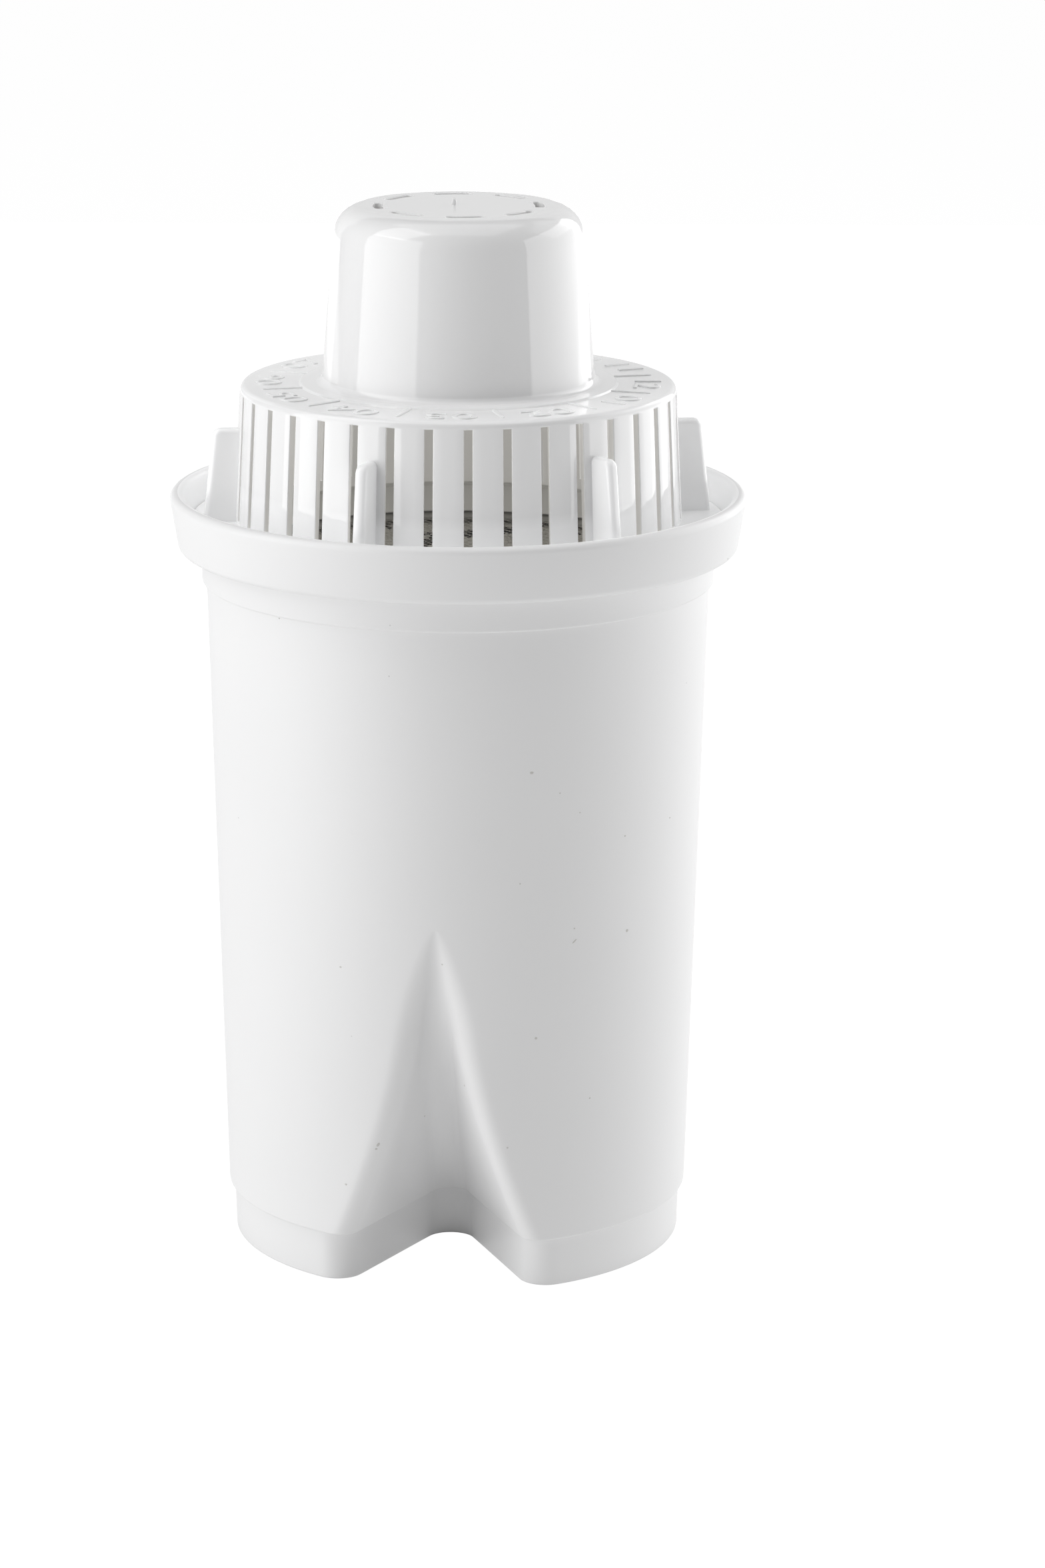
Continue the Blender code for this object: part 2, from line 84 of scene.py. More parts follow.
def around(radius, azimuth, height):
    """Points at a radius, an azimuth and a height.

    x is the radius times the sine of the azimuth, and y is minus the radius times its cosine.
    """
    radius, azimuth, height = np.broadcast_arrays(radius, azimuth, height)
    return np.stack([radius * np.sin(azimuth), -radius * np.cos(azimuth), height], -1)


# %% [markdown]
# ## From a table of points to a mesh
#
# A surface here is a table of points with rows and columns. The columns close into a ring, each
# square of neighbouring points is a face, and where a whole row lies in one spot the welding
# turns it into a pole. The normals are worked out again at the end, so every face looks outward.

# %% Build meshes
WELD = 1e-7


def ring_faces(rows, columns):
    """Corner numbers of the squares of a table whose last column meets its first."""
    down = np.arange(rows - 1)[:, None] * columns
    here = np.arange(columns)
    beside = (here + 1) % columns
    corners = [down + here, down + beside, down + columns + beside, down + columns + here]
    return np.stack(corners, -1).reshape(-1, 4)


def make_piece(name, points, faces, finish, smooth_below=math.radians(32)):
    """A closed piece from points and lists of corner numbers, with its doubles welded."""
    mesh = bpy.data.meshes.new(name)
    mesh.from_pydata(np.reshape(points, (-1, 3)), [], faces)
    shape = bmesh.new()
    shape.from_mesh(mesh)
    bmesh.ops.remove_doubles(shape, verts=shape.verts, dist=WELD)
    bmesh.ops.recalc_face_normals(shape, faces=shape.faces)
    shape.to_mesh(mesh)
    shape.free()
    mesh.shade_smooth()
    mesh.set_sharp_from_angle(angle=smooth_below)
    mesh.materials.append(finish)
    piece = bpy.data.objects.new(name, mesh)
    bpy.context.scene.collection.objects.link(piece)
    return piece


def closed_skin(rows):
    """Points and faces of a skin through rows of points, closed by a flat face at each end."""
    count, columns = rows.shape[:2]
    faces = ring_faces(count, columns).tolist()
    faces.append(list(range(columns)))
    faces.append(list(range((count - 1) * columns, count * columns)))
    return rows.reshape(-1, 3), faces


def seat(piece, slot, *nodes):
    """Rides a piece on the cartridge and hides the CAD nodes that it stands for. The slot is not
    used.
    """
    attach(piece, "root")
    if nodes:
        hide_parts(*nodes)
    triangles = sum(len(face.vertices) - 2 for face in piece.data.polygons)
    print(f"{piece.name}: {triangles} triangles")
    return piece


print("faces of a table of 2 rows and 4 columns:", ring_faces(2, 4).tolist())

# %% [markdown]
# A moulded edge is never quite sharp. A profile is therefore written as its sharp corners, each
# with the radius that rounds it, and one function puts the arcs in.


# %% Round the corners of a profile
def rounded(corners, steps=5):
    """A line through corners of (radius, height, rounding), with an arc at each rounded corner.

    Where the line turns by an angle t, an arc of radius q starts q times the tangent of t / 2
    before the corner. Its points are the start, plus q times the sine of the angle turned so far
    along the line, plus q times one minus its cosine towards the inside of the bend.
    Returns the points and the number of the first point of every corner.
    """
    places = np.array([corner[:2] for corner in corners], float)
    line, starts = [], []
    for i, (_, _, rounding) in enumerate(corners):
        starts.append(len(line))
        if rounding == 0.0:
            line.append(places[i])
            continue
        into = places[i] - places[i - 1]
        away = places[i + 1] - places[i]
        into, away = into / np.linalg.norm(into), away / np.linalg.norm(away)
        turn = math.acos(np.clip(into @ away, -1.0, 1.0))
        inward = away - (into @ away) * into
        inward /= np.linalg.norm(inward)
        first = places[i] - into * rounding * math.tan(turn / 2)
        angles = np.linspace(0.0, turn, steps + 1)[:, None]
        line.extend(first + rounding * (np.sin(angles) * into + (1 - np.cos(angles)) * inward))
    return np.array(line), starts


bend, _ = rounded([(0.0, 0.0, 0.0), (1.0, 0.0, 0.5), (1.0, 1.0, 0.0)], steps=2)
print("a right angle, rounded:", bend.round(2).tolist())

# %% [markdown]
# ## Shader maths
#
# A node tree is easier to read as an expression. `Wire` wraps the output of a node: adding,
# multiplying or comparing wires and numbers adds the Math nodes for it. The reflected forms let a
# plain number stand on the left, as in `1 - mask`.


# %% Wires
class Wire:
    """The output of a node, which can be used like a number in a formula."""

    def __init__(self, finish, socket):
        self.finish = finish
        self.socket = socket

    def maths(self, operation, *values):
        """The output of a new Math node, fed with wires and numbers."""
        return self.finish.node("ShaderNodeMath", {"operation": operation}, dict(enumerate(values)))

    def __add__(self, other):
        return self.maths("ADD", self, other)

    def __sub__(self, other):
        return self.maths("SUBTRACT", self, other)

    def __rsub__(self, other):
        return self.maths("SUBTRACT", other, self)

    def __mul__(self, other):
        return self.maths("MULTIPLY", self, other)

    def __lt__(self, other):
        return self.maths("LESS_THAN", self, other)

    def __gt__(self, other):
        return self.maths("GREATER_THAN", self, other)

    __radd__ = __add__
    __rmul__ = __mul__


print("a wire understands + - * < and >")

# %% [markdown]
# A finish is one material. `Finish.node` makes any node from its type, its settings and what goes
# into its sockets, and the short methods after it are the few nodes that every piece here needs.
# All patterns read Object coordinates: they are metres on the piece, so a size in a pattern is a
# real size, and the pattern stays on the piece when it moves.


# %% Finishes
class Finish:
    """A material with one Principled shader, and the short ways to wire it up."""

    def __init__(self, name, colour, roughness):
        self.material = bpy.data.materials.new(name)
        self.material.use_nodes = True
        self.material.diffuse_color = (*colour, 1.0)
        self.tree = self.material.node_tree
        self.shader = self.tree.nodes["Principled BSDF"]
        self.set("Base Color", (*colour, 1.0))
        self.set("Roughness", roughness)

    def set(self, socket, value):
        """Gives a socket of the shader a value or a wire."""
        self.feed(self.shader.inputs[socket], value)

    def feed(self, socket, value):
        """Gives a socket of any node a value or a wire."""
        if isinstance(value, Wire):
            self.tree.links.new(value.socket, socket)
        else:
            socket.default_value = value

    def node(self, kind, settings=None, inputs=None, output=0):
        """A node of a kind, with its settings made first and its sockets fed after."""
        made = self.tree.nodes.new(kind)
        for name, value in (settings or {}).items():
            setattr(made, name, value)
        for name, value in (inputs or {}).items():
            self.feed(made.inputs[name], value)
        return Wire(self, made.outputs[output])

    def place(self):
        """Where a point is on its piece, in metres."""
        return self.node("ShaderNodeTexCoord", output="Object")

    def noise(self, size, detail=2.0):
        """Soft noise between 0 and 1 whose blotches are about a size across."""
        inputs = {"Vector": self.place(), "Scale": 1.0 / size, "Detail": detail}
        return self.node("ShaderNodeTexNoise", {}, inputs)

    def blend(self, share, first, second):
        """A mix of two colours or wires, by a share from 0 to 1."""
        inputs = {"Factor": share, 6: first, 7: second}
        return self.node("ShaderNodeMix", {"data_type": "RGBA"}, inputs, output=2)

    def mottle(self, first, second, size, detail=2.0):
        """Blotches of two colours, about a size across. Returns the noise that parts them."""
        noise = self.noise(size, detail)
        self.set("Base Color", self.blend(noise, (*first, 1.0), (*second, 1.0)))
        return noise

    def bump(self, height, depth):
        """Small relief: a wire from 0 to 1, and how deep 1 is in metres."""
        inputs = {"Height": height, "Distance": depth}
        self.set("Normal", self.node("ShaderNodeBump", {}, inputs))


print("a finish can:", ", ".join(name for name in vars(Finish) if not name.startswith("_")))

# %% [markdown]
# ## White moulded plastic
#
# The cup is satin polypropylene and the cap is the same plastic from a glossier mould. Neither is
# one flat white: the wall is a touch denser here and there, the gloss wanders, the skin has the
# faint ripple of a moulded surface, and a little dust clings to it.
#
# Thin white plastic also lets light through, so its shaded side is never dark. True scattering
# would be slow to render and is lost when the model is exported, so a faint glow stands for that
# light. It is plain white outside, warm inside the cap and weak further down in the cup. On the
# crown's wall it fades out a little way above the flange, where the funnel no longer lights it.

# %% Plastics
CLOUD_SIZE = 18 * MM
GRAIN_SIZE = 0.9 * MM
DUST_SPACING = 5.2 * MM
DUST_RADIUS = 0.022
DUST_RARITY = 0.72
PLASTIC_IOR = 1.49
CUP_WHITE = (0.82, 0.82, 0.822)
CAP_WHITE = (0.83, 0.83, 0.832)
# Painted shade: the cap's inside is the same plastic, a touch darker and warmer for its shade.
SHADED_INSIDE_WHITE = (0.80, 0.795, 0.78)
PLAIN_GLOW = (0.98, 0.99, 1.0, 1.0)
WARM_GLOW = (1.0, 0.98, 0.94, 1.0)
SHADED_GLOW = (0.60, 0.59, 0.55, 1.0)
NO_GLOW = (0.0, 0.0, 0.0, 1.0)
GLOW_FADE = 1.6 * MM
GLOW_ON_CROWN = 5.4 * MM


def moulded_plastic(name, colour, roughness, ripple, glow=0.0, tint=PLAIN_GLOW,
                    lit_below=2 * DOME_TOP):
    """White plastic whose shade, gloss and skin all vary a little, with a faint glow.

    A grain of dust is a Voronoi cell's middle: where the distance to it, as a share of the
    spacing, is below the dust's radius, and where the cell's own random number is high enough.
    The glow's share is the distance below the level lit_below over the length of its fade.
    """
    made = Finish(name, colour, roughness)
    cloud = made.noise(CLOUD_SIZE)
    grain = made.noise(GRAIN_SIZE)
    cells = {"Vector": made.place(), "Scale": 1 / DUST_SPACING}
    distance = made.node("ShaderNodeTexVoronoi", {}, cells)
    random = made.node("ShaderNodeTexVoronoi", {}, cells, output="Color")
    chance = made.node("ShaderNodeSeparateColor", {}, {0: random})
    dust = (distance < DUST_RADIUS) * (chance > DUST_RARITY)
    denser = tuple(0.972 * channel for channel in colour)
    dusty = tuple(0.60 * channel for channel in colour)
    white = made.blend(cloud, (*colour, 1.0), (*denser, 1.0))
    made.set("Base Color", made.blend(dust * 0.55, white, (*dusty, 1.0)))
    uneven = 1 + 0.24 * (cloud - 0.5) + 0.12 * (grain - 0.5)
    made.set("Roughness", roughness * uneven + 0.2 * dust)
    made.set("IOR", PLASTIC_IOR)
    height = made.node("ShaderNodeSeparateXYZ", {}, {0: made.place()}, output=2)
    lit = made.blend(height > FUNNEL_FLOOR - MM, SHADED_GLOW, tint)
    made.set("Emission Color", made.blend((lit_below - height) * (1 / GLOW_FADE), NO_GLOW, lit))
    made.set("Emission Strength", glow)
    made.bump(grain, ripple)
    return made.material


# Painted light: these copies of one plastic differ in glow, which lightens the funnel's wall, the
# crown's foot, the fins and flange, the dial's roof and the cap's inside.
cup_plastic = moulded_plastic("cup_plastic_satin", CUP_WHITE, 0.40, 0.006 * MM)
cup_funnel = moulded_plastic("cup_plastic_funnel_glow", CUP_WHITE, 0.35, 0.006 * MM, 0.15)
cap_plastic = moulded_plastic("cap_plastic_gloss", CAP_WHITE, 0.045, 0.0008 * MM, 0.09,
                              lit_below=FUNNEL_FLOOR + GLOW_ON_CROWN)
cap_fin_glow = moulded_plastic("cap_plastic_fin_glow", CAP_WHITE, 0.12, 0.001 * MM, 0.12)
cap_roof = moulded_plastic("cap_plastic_roof_glow", CAP_WHITE, 0.06, 0.001 * MM, 0.045)
cap_inside_shaded = moulded_plastic("cap_plastic_inside_shaded", SHADED_INSIDE_WHITE, 0.40, 0.003 * MM, 0.14, WARM_GLOW)
plastics = (cup_plastic, cup_funnel, cap_plastic, cap_fin_glow, cap_roof, cap_inside_shaded)
print("plastics:", ", ".join(made.name for made in plastics))

# %% [markdown]
# ## The cup's plan
#
# Seen from below, the cup is a circle with a V cut into its front and its back, so its foot is an
# hourglass. Higher up the V leans outward until it runs out of the wall. A quarter of the plan is
# enough: an arc in the corner of the V, its straight side, the arc that rounds it off into the
# circle, and the rest of the circle. The same code draws every level at once.

# %% The plan of the cup, level by level
NOTCH_HALF_ANGLE = math.radians(25.5)
PLAN_STEPS = {"apex": 9, "side": 7, "edge": 10, "circle": 46}


def plan_rows(levels):
    """Rows of points round the cup, one for each row of (radius, apex, roundings, height).

    The V's sharp corner lies at the distance apex from the axis, and its side leaves it at the
    half angle. A circle of radius p that touches both sides has its centre, the heart, at
    p / sin(half angle) beyond the corner. The outer rounding has radius q. It touches the big
    circle from within, so its centre is radius - q from the axis, and it touches either the V's
    side, q away from it, or, where the notch is shallow, the round in the corner, p + q from the
    heart. Where the round in the corner doesn't reach the circle, the row is plain.
    """
    radius, apex, inner, outer, height = (column[:, None] for column in levels.T)
    sine, cosine = math.sin(NOTCH_HALF_ANGLE), math.cos(NOTCH_HALF_ANGLE)
    heart = np.minimum(apex + inner / sine, radius + inner)
    orbit = radius - outer

    inside = orbit**2 - (apex * sine) ** 2 + 2 * apex * outer * sine - outer**2
    reach = np.sqrt(np.maximum(inside, 0.0)) - apex * cosine
    outward = (orbit**2 - (inner + outer) ** 2 + heart**2) / (2 * heart)
    across = np.sqrt(np.maximum(orbit**2 - outward**2, 0.0))
    deep = reach > inner / math.tan(NOTCH_HALF_ANGLE)
    across = np.where(deep, outer * cosine + reach * sine, across)
    outward = np.where(deep, apex - outer * sine + reach * cosine, outward)
    sweep = np.where(deep, math.pi / 2 - NOTCH_HALF_ANGLE, np.arctan2(across, heart - outward))
    corner = np.arctan2(across, outward)

    turn = sweep * np.linspace(0.0, 1.0, PLAN_STEPS["apex"] + 1)
    hollow = np.stack([inner * np.sin(turn), heart - inner * np.cos(turn)], -1)
    turn = (corner + sweep) * np.linspace(0.0, 1.0, PLAN_STEPS["edge"] + 1) - sweep
    shoulder = np.stack([across + outer * np.sin(turn), outward + outer * np.cos(turn)], -1)
    share = np.linspace(0.0, 1.0, PLAN_STEPS["side"] + 1)[1:-1, None]
    straight = hollow[:, -1:] + (shoulder[:, :1] - hollow[:, -1:]) * share
    turn = corner + (math.pi / 2 - corner) * np.linspace(0.0, 1.0, PLAN_STEPS["circle"] + 1)[1:]
    circle = np.stack([radius * np.sin(turn), radius * np.cos(turn)], -1)

    quarter = np.concatenate([hollow, straight, shoulder, circle], 1)
    half = np.concatenate([quarter * (1, -1), quarter[:, -2::-1]], 1)
    plan = np.concatenate([half, half[:, -2:0:-1] * (-1, 1)], 1)
    heights = np.broadcast_to(height[:, :, None], (*plan.shape[:2], 1))
    return np.concatenate([plan, heights], 2)


print("points in a row of the cup:", 4 * sum(PLAN_STEPS.values()))

# %% [markdown]
# ## The cup's profile
#
# Going up the outside, the cup has a plain foot, a small step out to the long tapered body,
# another to the collar, a ledge that hangs in the pitcher's funnel, and a rim that flares like a
# funnel. Then the surface turns over the lip and comes back down the inside. Each level of that
# trip is one row of five numbers: radius, distance of the V's corner, its two roundings, height.

# %% Sizes of the cup
FOOT_HEIGHT = 6.55 * MM
FOOT_INSET = 0.7 * MM
FOOT_FLARE = 0.2 * MM
COLLAR_FOOT = 88.2 * MM
COLLAR_APPROACH = 1.2 * MM
BODY_TOP_RADIUS = 32.7 * MM
BODY_DRAFT = math.radians(1.61)
COLLAR_STEP = 0.6 * MM
LEDGE_LEVEL = 92.4 * MM
LEDGE_WIDTH = 3.0 * MM
LEDGE_ROUND = 0.9 * MM
LEDGE_HOLLOW = 0.3 * MM
FUNNEL_FOOT_DROP = 0.2 * MM
FUNNEL_FOOT_ROUND = 0.4 * MM
RIM_WALL = 1.75 * MM
RIM_FOOT_WALL = 1.44 * MM
CUP_WALL = 1.2 * MM
NOTCH_DEPTH_LEFT = 2.0 * MM
NOTCH_HEIGHT = 49.3 * MM
NOTCH_APEX_ROUND = 3.1 * MM
NOTCH_EDGE_ROUND = 3.6 * MM
NOTCH_BODY_APEX = 2.4 * MM
NOTCH_BODY_ROUND = 2.4 * MM
NOTCH_BOW = 4.9 * MM
NOTCH_EASE = 1.6 * MM
BASE_THICKNESS = 2.2 * MM
BASE_BORDER = 3.2 * MM
BASE_RECESS = 0.8 * MM
FLANGE_THICKNESS = 1.4 * MM
SEAT_GAP = 0.3 * MM
STEP_HOLLOW = 0.15 * MM
STEP_EDGE = 0.28 * MM
SMALLEST_ROUND = 0.1 * MM
SEAT_LEVEL = FUNNEL_FLOOR - FLANGE_THICKNESS - SEAT_GAP
COLLAR_RADIUS = BODY_TOP_RADIUS + COLLAR_STEP
LEDGE_RADIUS = COLLAR_RADIUS + LEDGE_WIDTH
BORE_RADIUS = COLLAR_RADIUS - CUP_WALL
SIDE_TO_CORNER = 1 / math.sin(NOTCH_HALF_ANGLE)
print(f"collar {COLLAR_RADIUS / MM:.1f} mm, ledge {LEDGE_RADIUS / MM:.1f} mm in radius")

# %% [markdown]
# The foot's V stands upright. In the body its corner moves outward on a slightly bowed line, and
# the rounding of its edges grows towards the top, so the notch eases out of the wall. An inset
# draws a level in all round by a wall's thickness: the circle shrinks, the round in the corner
# grows, the edge's round shrinks, and the corner moves by the inset over the sine of the half
# angle, which keeps the wall even on the slanted sides.


# %% Levels of the cup
def body_radius(height):
    """The tapered body: its top radius less the drop times the tangent of the draft."""
    return BODY_TOP_RADIUS - (COLLAR_FOOT - height) * math.tan(BODY_DRAFT)


NOTCH_FOOT = NOTCH_DEPTH_LEFT + FOOT_INSET * SIDE_TO_CORNER
NOTCH_REACH = body_radius(NOTCH_HEIGHT) - NOTCH_BODY_APEX * (SIDE_TO_CORNER - 1) - NOTCH_FOOT


def notch_gone(height):
    """The share of the way from the notch's foot to its tip."""
    return (height - FOOT_HEIGHT) / (NOTCH_HEIGHT - FOOT_HEIGHT)


def notch_corner(height):
    """How far from the axis the V's sharp corner lies in the body.

    It goes from its place at the foot to where its rounding just leaves the wall, and bulges
    outward between them by four times the bow, times the share of the way gone, times the share
    that is left.
    """
    gone = notch_gone(height)
    return NOTCH_FOOT + NOTCH_REACH * gone + 4 * NOTCH_BOW * gone * (1 - gone)


def level_rows(radius, apex, apex_round, edge_round, height):
    """Stacks the five numbers of each level, with none of its roundings below the smallest."""
    apex_round = np.maximum(apex_round, SMALLEST_ROUND)
    edge_round = np.maximum(edge_round, SMALLEST_ROUND)
    return np.stack(np.broadcast_arrays(radius, apex, apex_round, edge_round, height), -1)


def foot_rows(height, inset):
    """Levels of the foot, drawn in by an inset: the flare times the share left to its top."""
    height = np.asarray(height, float)
    radius = body_radius(FOOT_HEIGHT) - FOOT_INSET - FOOT_FLARE * (1 - height / FOOT_HEIGHT)
    apex = NOTCH_DEPTH_LEFT - inset * SIDE_TO_CORNER
    apex_round, edge_round = NOTCH_APEX_ROUND + inset, NOTCH_EDGE_ROUND - inset
    return level_rows(radius - inset, apex, apex_round, edge_round, height)


def body_rows(height, inset):
    """Levels of the body, drawn in by an inset: the edge's round grows by the square of the way."""
    height = np.asarray(height, float)
    apex = notch_corner(height) - inset * SIDE_TO_CORNER
    apex_round = NOTCH_BODY_APEX + inset
    edge_round = NOTCH_BODY_ROUND + NOTCH_EASE * notch_gone(height) ** 2 - inset
    return level_rows(body_radius(height) - inset, apex, apex_round, edge_round, height)


def round_rows(line):
    """Levels of a plain round part, from a line of (radius, height)."""
    return level_rows(line[:, 0], line[:, 0], 0.0, 0.0, line[:, 1])


def cone_rows(height, inset):
    """Levels of the body above the notch, where it is a plain cone, drawn in by an inset."""
    height = np.asarray(height, float)
    return round_rows(np.stack([body_radius(height) - inset, height], -1))


print(f"foot radius {(body_radius(FOOT_HEIGHT) - FOOT_INSET) / MM:.2f} mm")

# %% [markdown]
# The step from the foot to the body is the only place where one plan grows into another. A line
# with a hollow and a rounded edge says how far it has grown at each height. The levels of the body
# crowd towards the notch's tip, as a sine does near its top, because the notch closes there.

# %% Stack the levels of the cup
LIP_ROUND = 0.97 * RIM_WALL / 2
BODY_LEVELS = 72


def step_rows():
    """Levels of the step from foot to body, each a share of the way from one plan to the other."""
    line, _ = rounded([
        (0.0, FOOT_HEIGHT - 3 * STEP_HOLLOW, 0.0),
        (0.0, FOOT_HEIGHT, STEP_HOLLOW),
        (FOOT_INSET, FOOT_HEIGHT, STEP_EDGE),
        (FOOT_INSET, FOOT_HEIGHT + 2 * STEP_EDGE, 0.0),
    ], steps=4)
    share, height = line[1:-1, :1] / FOOT_INSET, line[1:-1, 1]
    low = foot_rows(np.minimum(height, FOOT_HEIGHT), 0.0)
    high = body_rows(np.maximum(height, FOOT_HEIGHT), 0.0)
    mixed = low + (high - low) * share
    mixed[:, 4] = height
    return mixed


def cup_rows():
    """All levels of the cup: under the base, up the outside, over the lip and down inside."""
    edge = np.linspace(0.0, math.pi / 2, 5)
    under = np.concatenate([
        foot_rows([BASE_RECESS], BASE_BORDER),
        foot_rows([0.0], BASE_BORDER),
    ])
    under[0, 4] = BASE_RECESS
    toe = np.concatenate([
        foot_rows([STEP_EDGE * (1 - math.cos(t))], STEP_EDGE * (1 - math.sin(t))) for t in edge
    ])
    start = FOOT_HEIGHT + 1.2 * STEP_EDGE
    heights = start + (NOTCH_HEIGHT - start) * np.sin(np.linspace(0, math.pi / 2, BODY_LEVELS))
    plain = cone_rows(np.linspace(NOTCH_HEIGHT + MM, COLLAR_FOOT - 2 * MM, 7), 0.0)
    approach = COLLAR_FOOT - COLLAR_APPROACH
    profile, _ = rounded([
        (body_radius(approach), approach, 0.0),
        (BODY_TOP_RADIUS, COLLAR_FOOT, STEP_HOLLOW),
        (COLLAR_RADIUS, COLLAR_FOOT, STEP_EDGE),
        (COLLAR_RADIUS, LEDGE_LEVEL, LEDGE_HOLLOW),
        (LEDGE_RADIUS, LEDGE_LEVEL, LEDGE_ROUND),
        (RIM_RADIUS, RIM_TOP, LIP_ROUND),
        (RIM_RADIUS - RIM_WALL, RIM_TOP, LIP_ROUND),
        (LEDGE_RADIUS - RIM_FOOT_WALL, FUNNEL_FLOOR - FUNNEL_FOOT_DROP, FUNNEL_FOOT_ROUND),
        (LEDGE_RADIUS - RIM_FOOT_WALL, SEAT_LEVEL, SMALLEST_ROUND),
        (BORE_RADIUS, SEAT_LEVEL, SMALLEST_ROUND),
        (BORE_RADIUS, SCREEN_FOOT - SEAT_GAP, 0.0),
    ], steps=7)
    inside = np.concatenate([
        cone_rows([SCREEN_FOOT - SEAT_GAP, NOTCH_HEIGHT + MM], CUP_WALL),
        body_rows(np.linspace(NOTCH_HEIGHT, FOOT_HEIGHT + CUP_WALL / 2, 14), CUP_WALL),
        foot_rows([FOOT_HEIGHT - CUP_WALL / 2, BASE_THICKNESS], CUP_WALL),
    ])
    skin = [under, toe, step_rows(), body_rows(heights, 0.0), plain, round_rows(profile), inside]
    return np.concatenate(skin)


cup_levels = cup_rows()
print("levels of the cup:", len(cup_levels))

# %% [markdown]
# Faces get another finish by where they are and which way they look. Both are read from the mesh
# as whole arrays, so a rule such as "looks at the axis" is one comparison for all faces at once.


# %% Build the cup
def refinish(piece, finish, wanted):
    """Gives another finish to the faces whose middle and normal, as rows x, y and z, fit."""
    faces = piece.data.polygons
    middle, normal = np.empty(3 * len(faces)), np.empty(3 * len(faces))
    faces.foreach_get("center", middle)
    faces.foreach_get("normal", normal)
    numbers = np.empty(len(faces), dtype=np.int32)
    faces.foreach_get("material_index", numbers)
    numbers[wanted(middle.reshape(-1, 3).T, normal.reshape(-1, 3).T)] = len(piece.data.materials)
    piece.data.materials.append(finish)
    faces.foreach_set("material_index", numbers)


def looks_inward(middle, normal):
    """Whether faces look at the axis: seen from above, middle times normal is below 0."""
    return middle[0] * normal[0] + middle[1] * normal[1] < 0


def is_funnel(middle, normal):
    """Whether faces of the cup are on the funnel's wall."""
    return looks_inward(middle, normal) & (middle[2] > SEAT_LEVEL + SMALLEST_ROUND)


cup = make_piece("cup_shell", *closed_skin(plan_rows(cup_levels)), cup_plastic)
refinish(cup, cup_funnel, is_funnel)
print("faces of the cup before its slots:", len(cup.data.polygons))

# %% [markdown]
# Filtered water leaves through rows of arc shaped slots in both lobes of the base. They are cut
# with a Boolean, because a hole with its own outline doesn't follow the grid of the skin. Both
# shapes are closed, so the quick manifold solver can do it. A cutter is removed once its cut is in
# the mesh, so nothing of it is left in the scene.


# %% Cutters for arc shaped slots
def cut(piece, name, points, faces):
    """Cuts a closed shape out of a piece, and keeps only the result."""
    cutter = make_piece(name, points, faces, piece.data.materials[0])
    step = piece.modifiers.new(name, "BOOLEAN")
    step.operation = "DIFFERENCE"
    step.solver = "MANIFOLD"
    step.object = cutter
    depsgraph = bpy.context.evaluated_depsgraph_get()
    result = bpy.data.meshes.new_from_object(piece.evaluated_get(depsgraph))
    piece.modifiers.clear()
    piece.data = result
    result.set_sharp_from_angle(angle=math.radians(32))
    bpy.data.objects.remove(cutter)


def bent_slot(radius, azimuth, sweep, width, profile, steps=14):
    """A cutter for an arc shaped slot with round ends, bent round the axis.

    Its outline is a straight run with a half circle at each end, and each level of the profile
    (how far the outline has grown, height) is one copy of it. The run is then laid on the circle:
    the distance along it over the radius is an azimuth, and the distance across it a radius.
    """
    turn = np.linspace(-math.pi / 2, math.pi / 2, steps // 2 + 1)
    half = width / 2 + profile[:, :1]
    run = radius * sweep / 2 - width / 2
    ahead = run + half * np.cos(turn)
    across = half * np.sin(turn)
    side = np.linspace(1.0, -1.0, steps)[1:-1]
    far, near = side * run, -side * run
    along = np.concatenate([ahead, np.broadcast_to(far, (len(half), far.size)), -ahead,
                            np.broadcast_to(near, (len(half), near.size))], 1)
    out = np.concatenate([across, np.broadcast_to(half, (len(half), far.size)), -across,
                          np.broadcast_to(-half, (len(half), near.size))], 1)
    return closed_skin(around(radius + out, azimuth + along / radius, profile[:, 1:]))


def gather(shapes):
    """Joins several (points, faces) pairs into one."""
    points, faces, count = [], [], 0
    for some_points, some_faces in shapes:
        faces += [[number + count for number in face] for face in some_faces]
        points.append(some_points)
        count += len(some_points)
    return np.concatenate(points), faces


trial, _ = bent_slot(10 * MM, 0.0, math.radians(40), MM, np.array([(0.0, 0.0), (0.0, MM)]))
print("points of a cutter with two levels:", len(trial))

# %% [markdown]
# The slots of one lobe are two mirrored halves with a rib between them. Each row's sweep is what
# the V's side leaves of a quarter turn, less a margin, whose angle is the arc sine of its width
# over the row's radius.

# %% Cut the outlet slots
GRILLE_ROWS = 5
GRILLE_FIRST_RADIUS = 10.0 * MM
GRILLE_LAND = 2.3 * MM
GRILLE_SLOT = 1.2 * MM
GRILLE_MARGIN = 4.6 * MM
GRILLE_RIB = 2.0 * MM
GRILLE_FLARE = 0.15 * MM


def outlet_slots():
    """Cutters for every row of slots, split by a rib on the line between the lobes."""
    last = body_radius(FOOT_HEIGHT) - FOOT_INSET - FOOT_FLARE - BASE_BORDER - GRILLE_LAND
    flare = GRILLE_FLARE
    profile = np.array([
        (flare, -BASE_THICKNESS), (flare, BASE_RECESS), (0.3 * flare, BASE_RECESS + 0.3 * flare),
        (0.0, BASE_RECESS + flare), (0.0, 2 * BASE_THICKNESS),
    ])
    slots = []
    for radius in np.linspace(GRILLE_FIRST_RADIUS, last, GRILLE_ROWS):
        edge = NOTCH_HALF_ANGLE + math.asin(GRILLE_MARGIN / radius)
        rib = GRILLE_RIB / radius
        sweep = math.pi / 2 - edge - rib / 2
        for lobe in (-1, 1):
            for half in (-1, 1):
                azimuth = lobe * math.pi / 2 + half * (rib + sweep) / 2
                slots.append(bent_slot(radius, azimuth, sweep, GRILLE_SLOT, profile))
    return gather(slots)


cut(cup, "outlet_slots", *outlet_slots())
seat(cup, "cup_plastic", "cup")

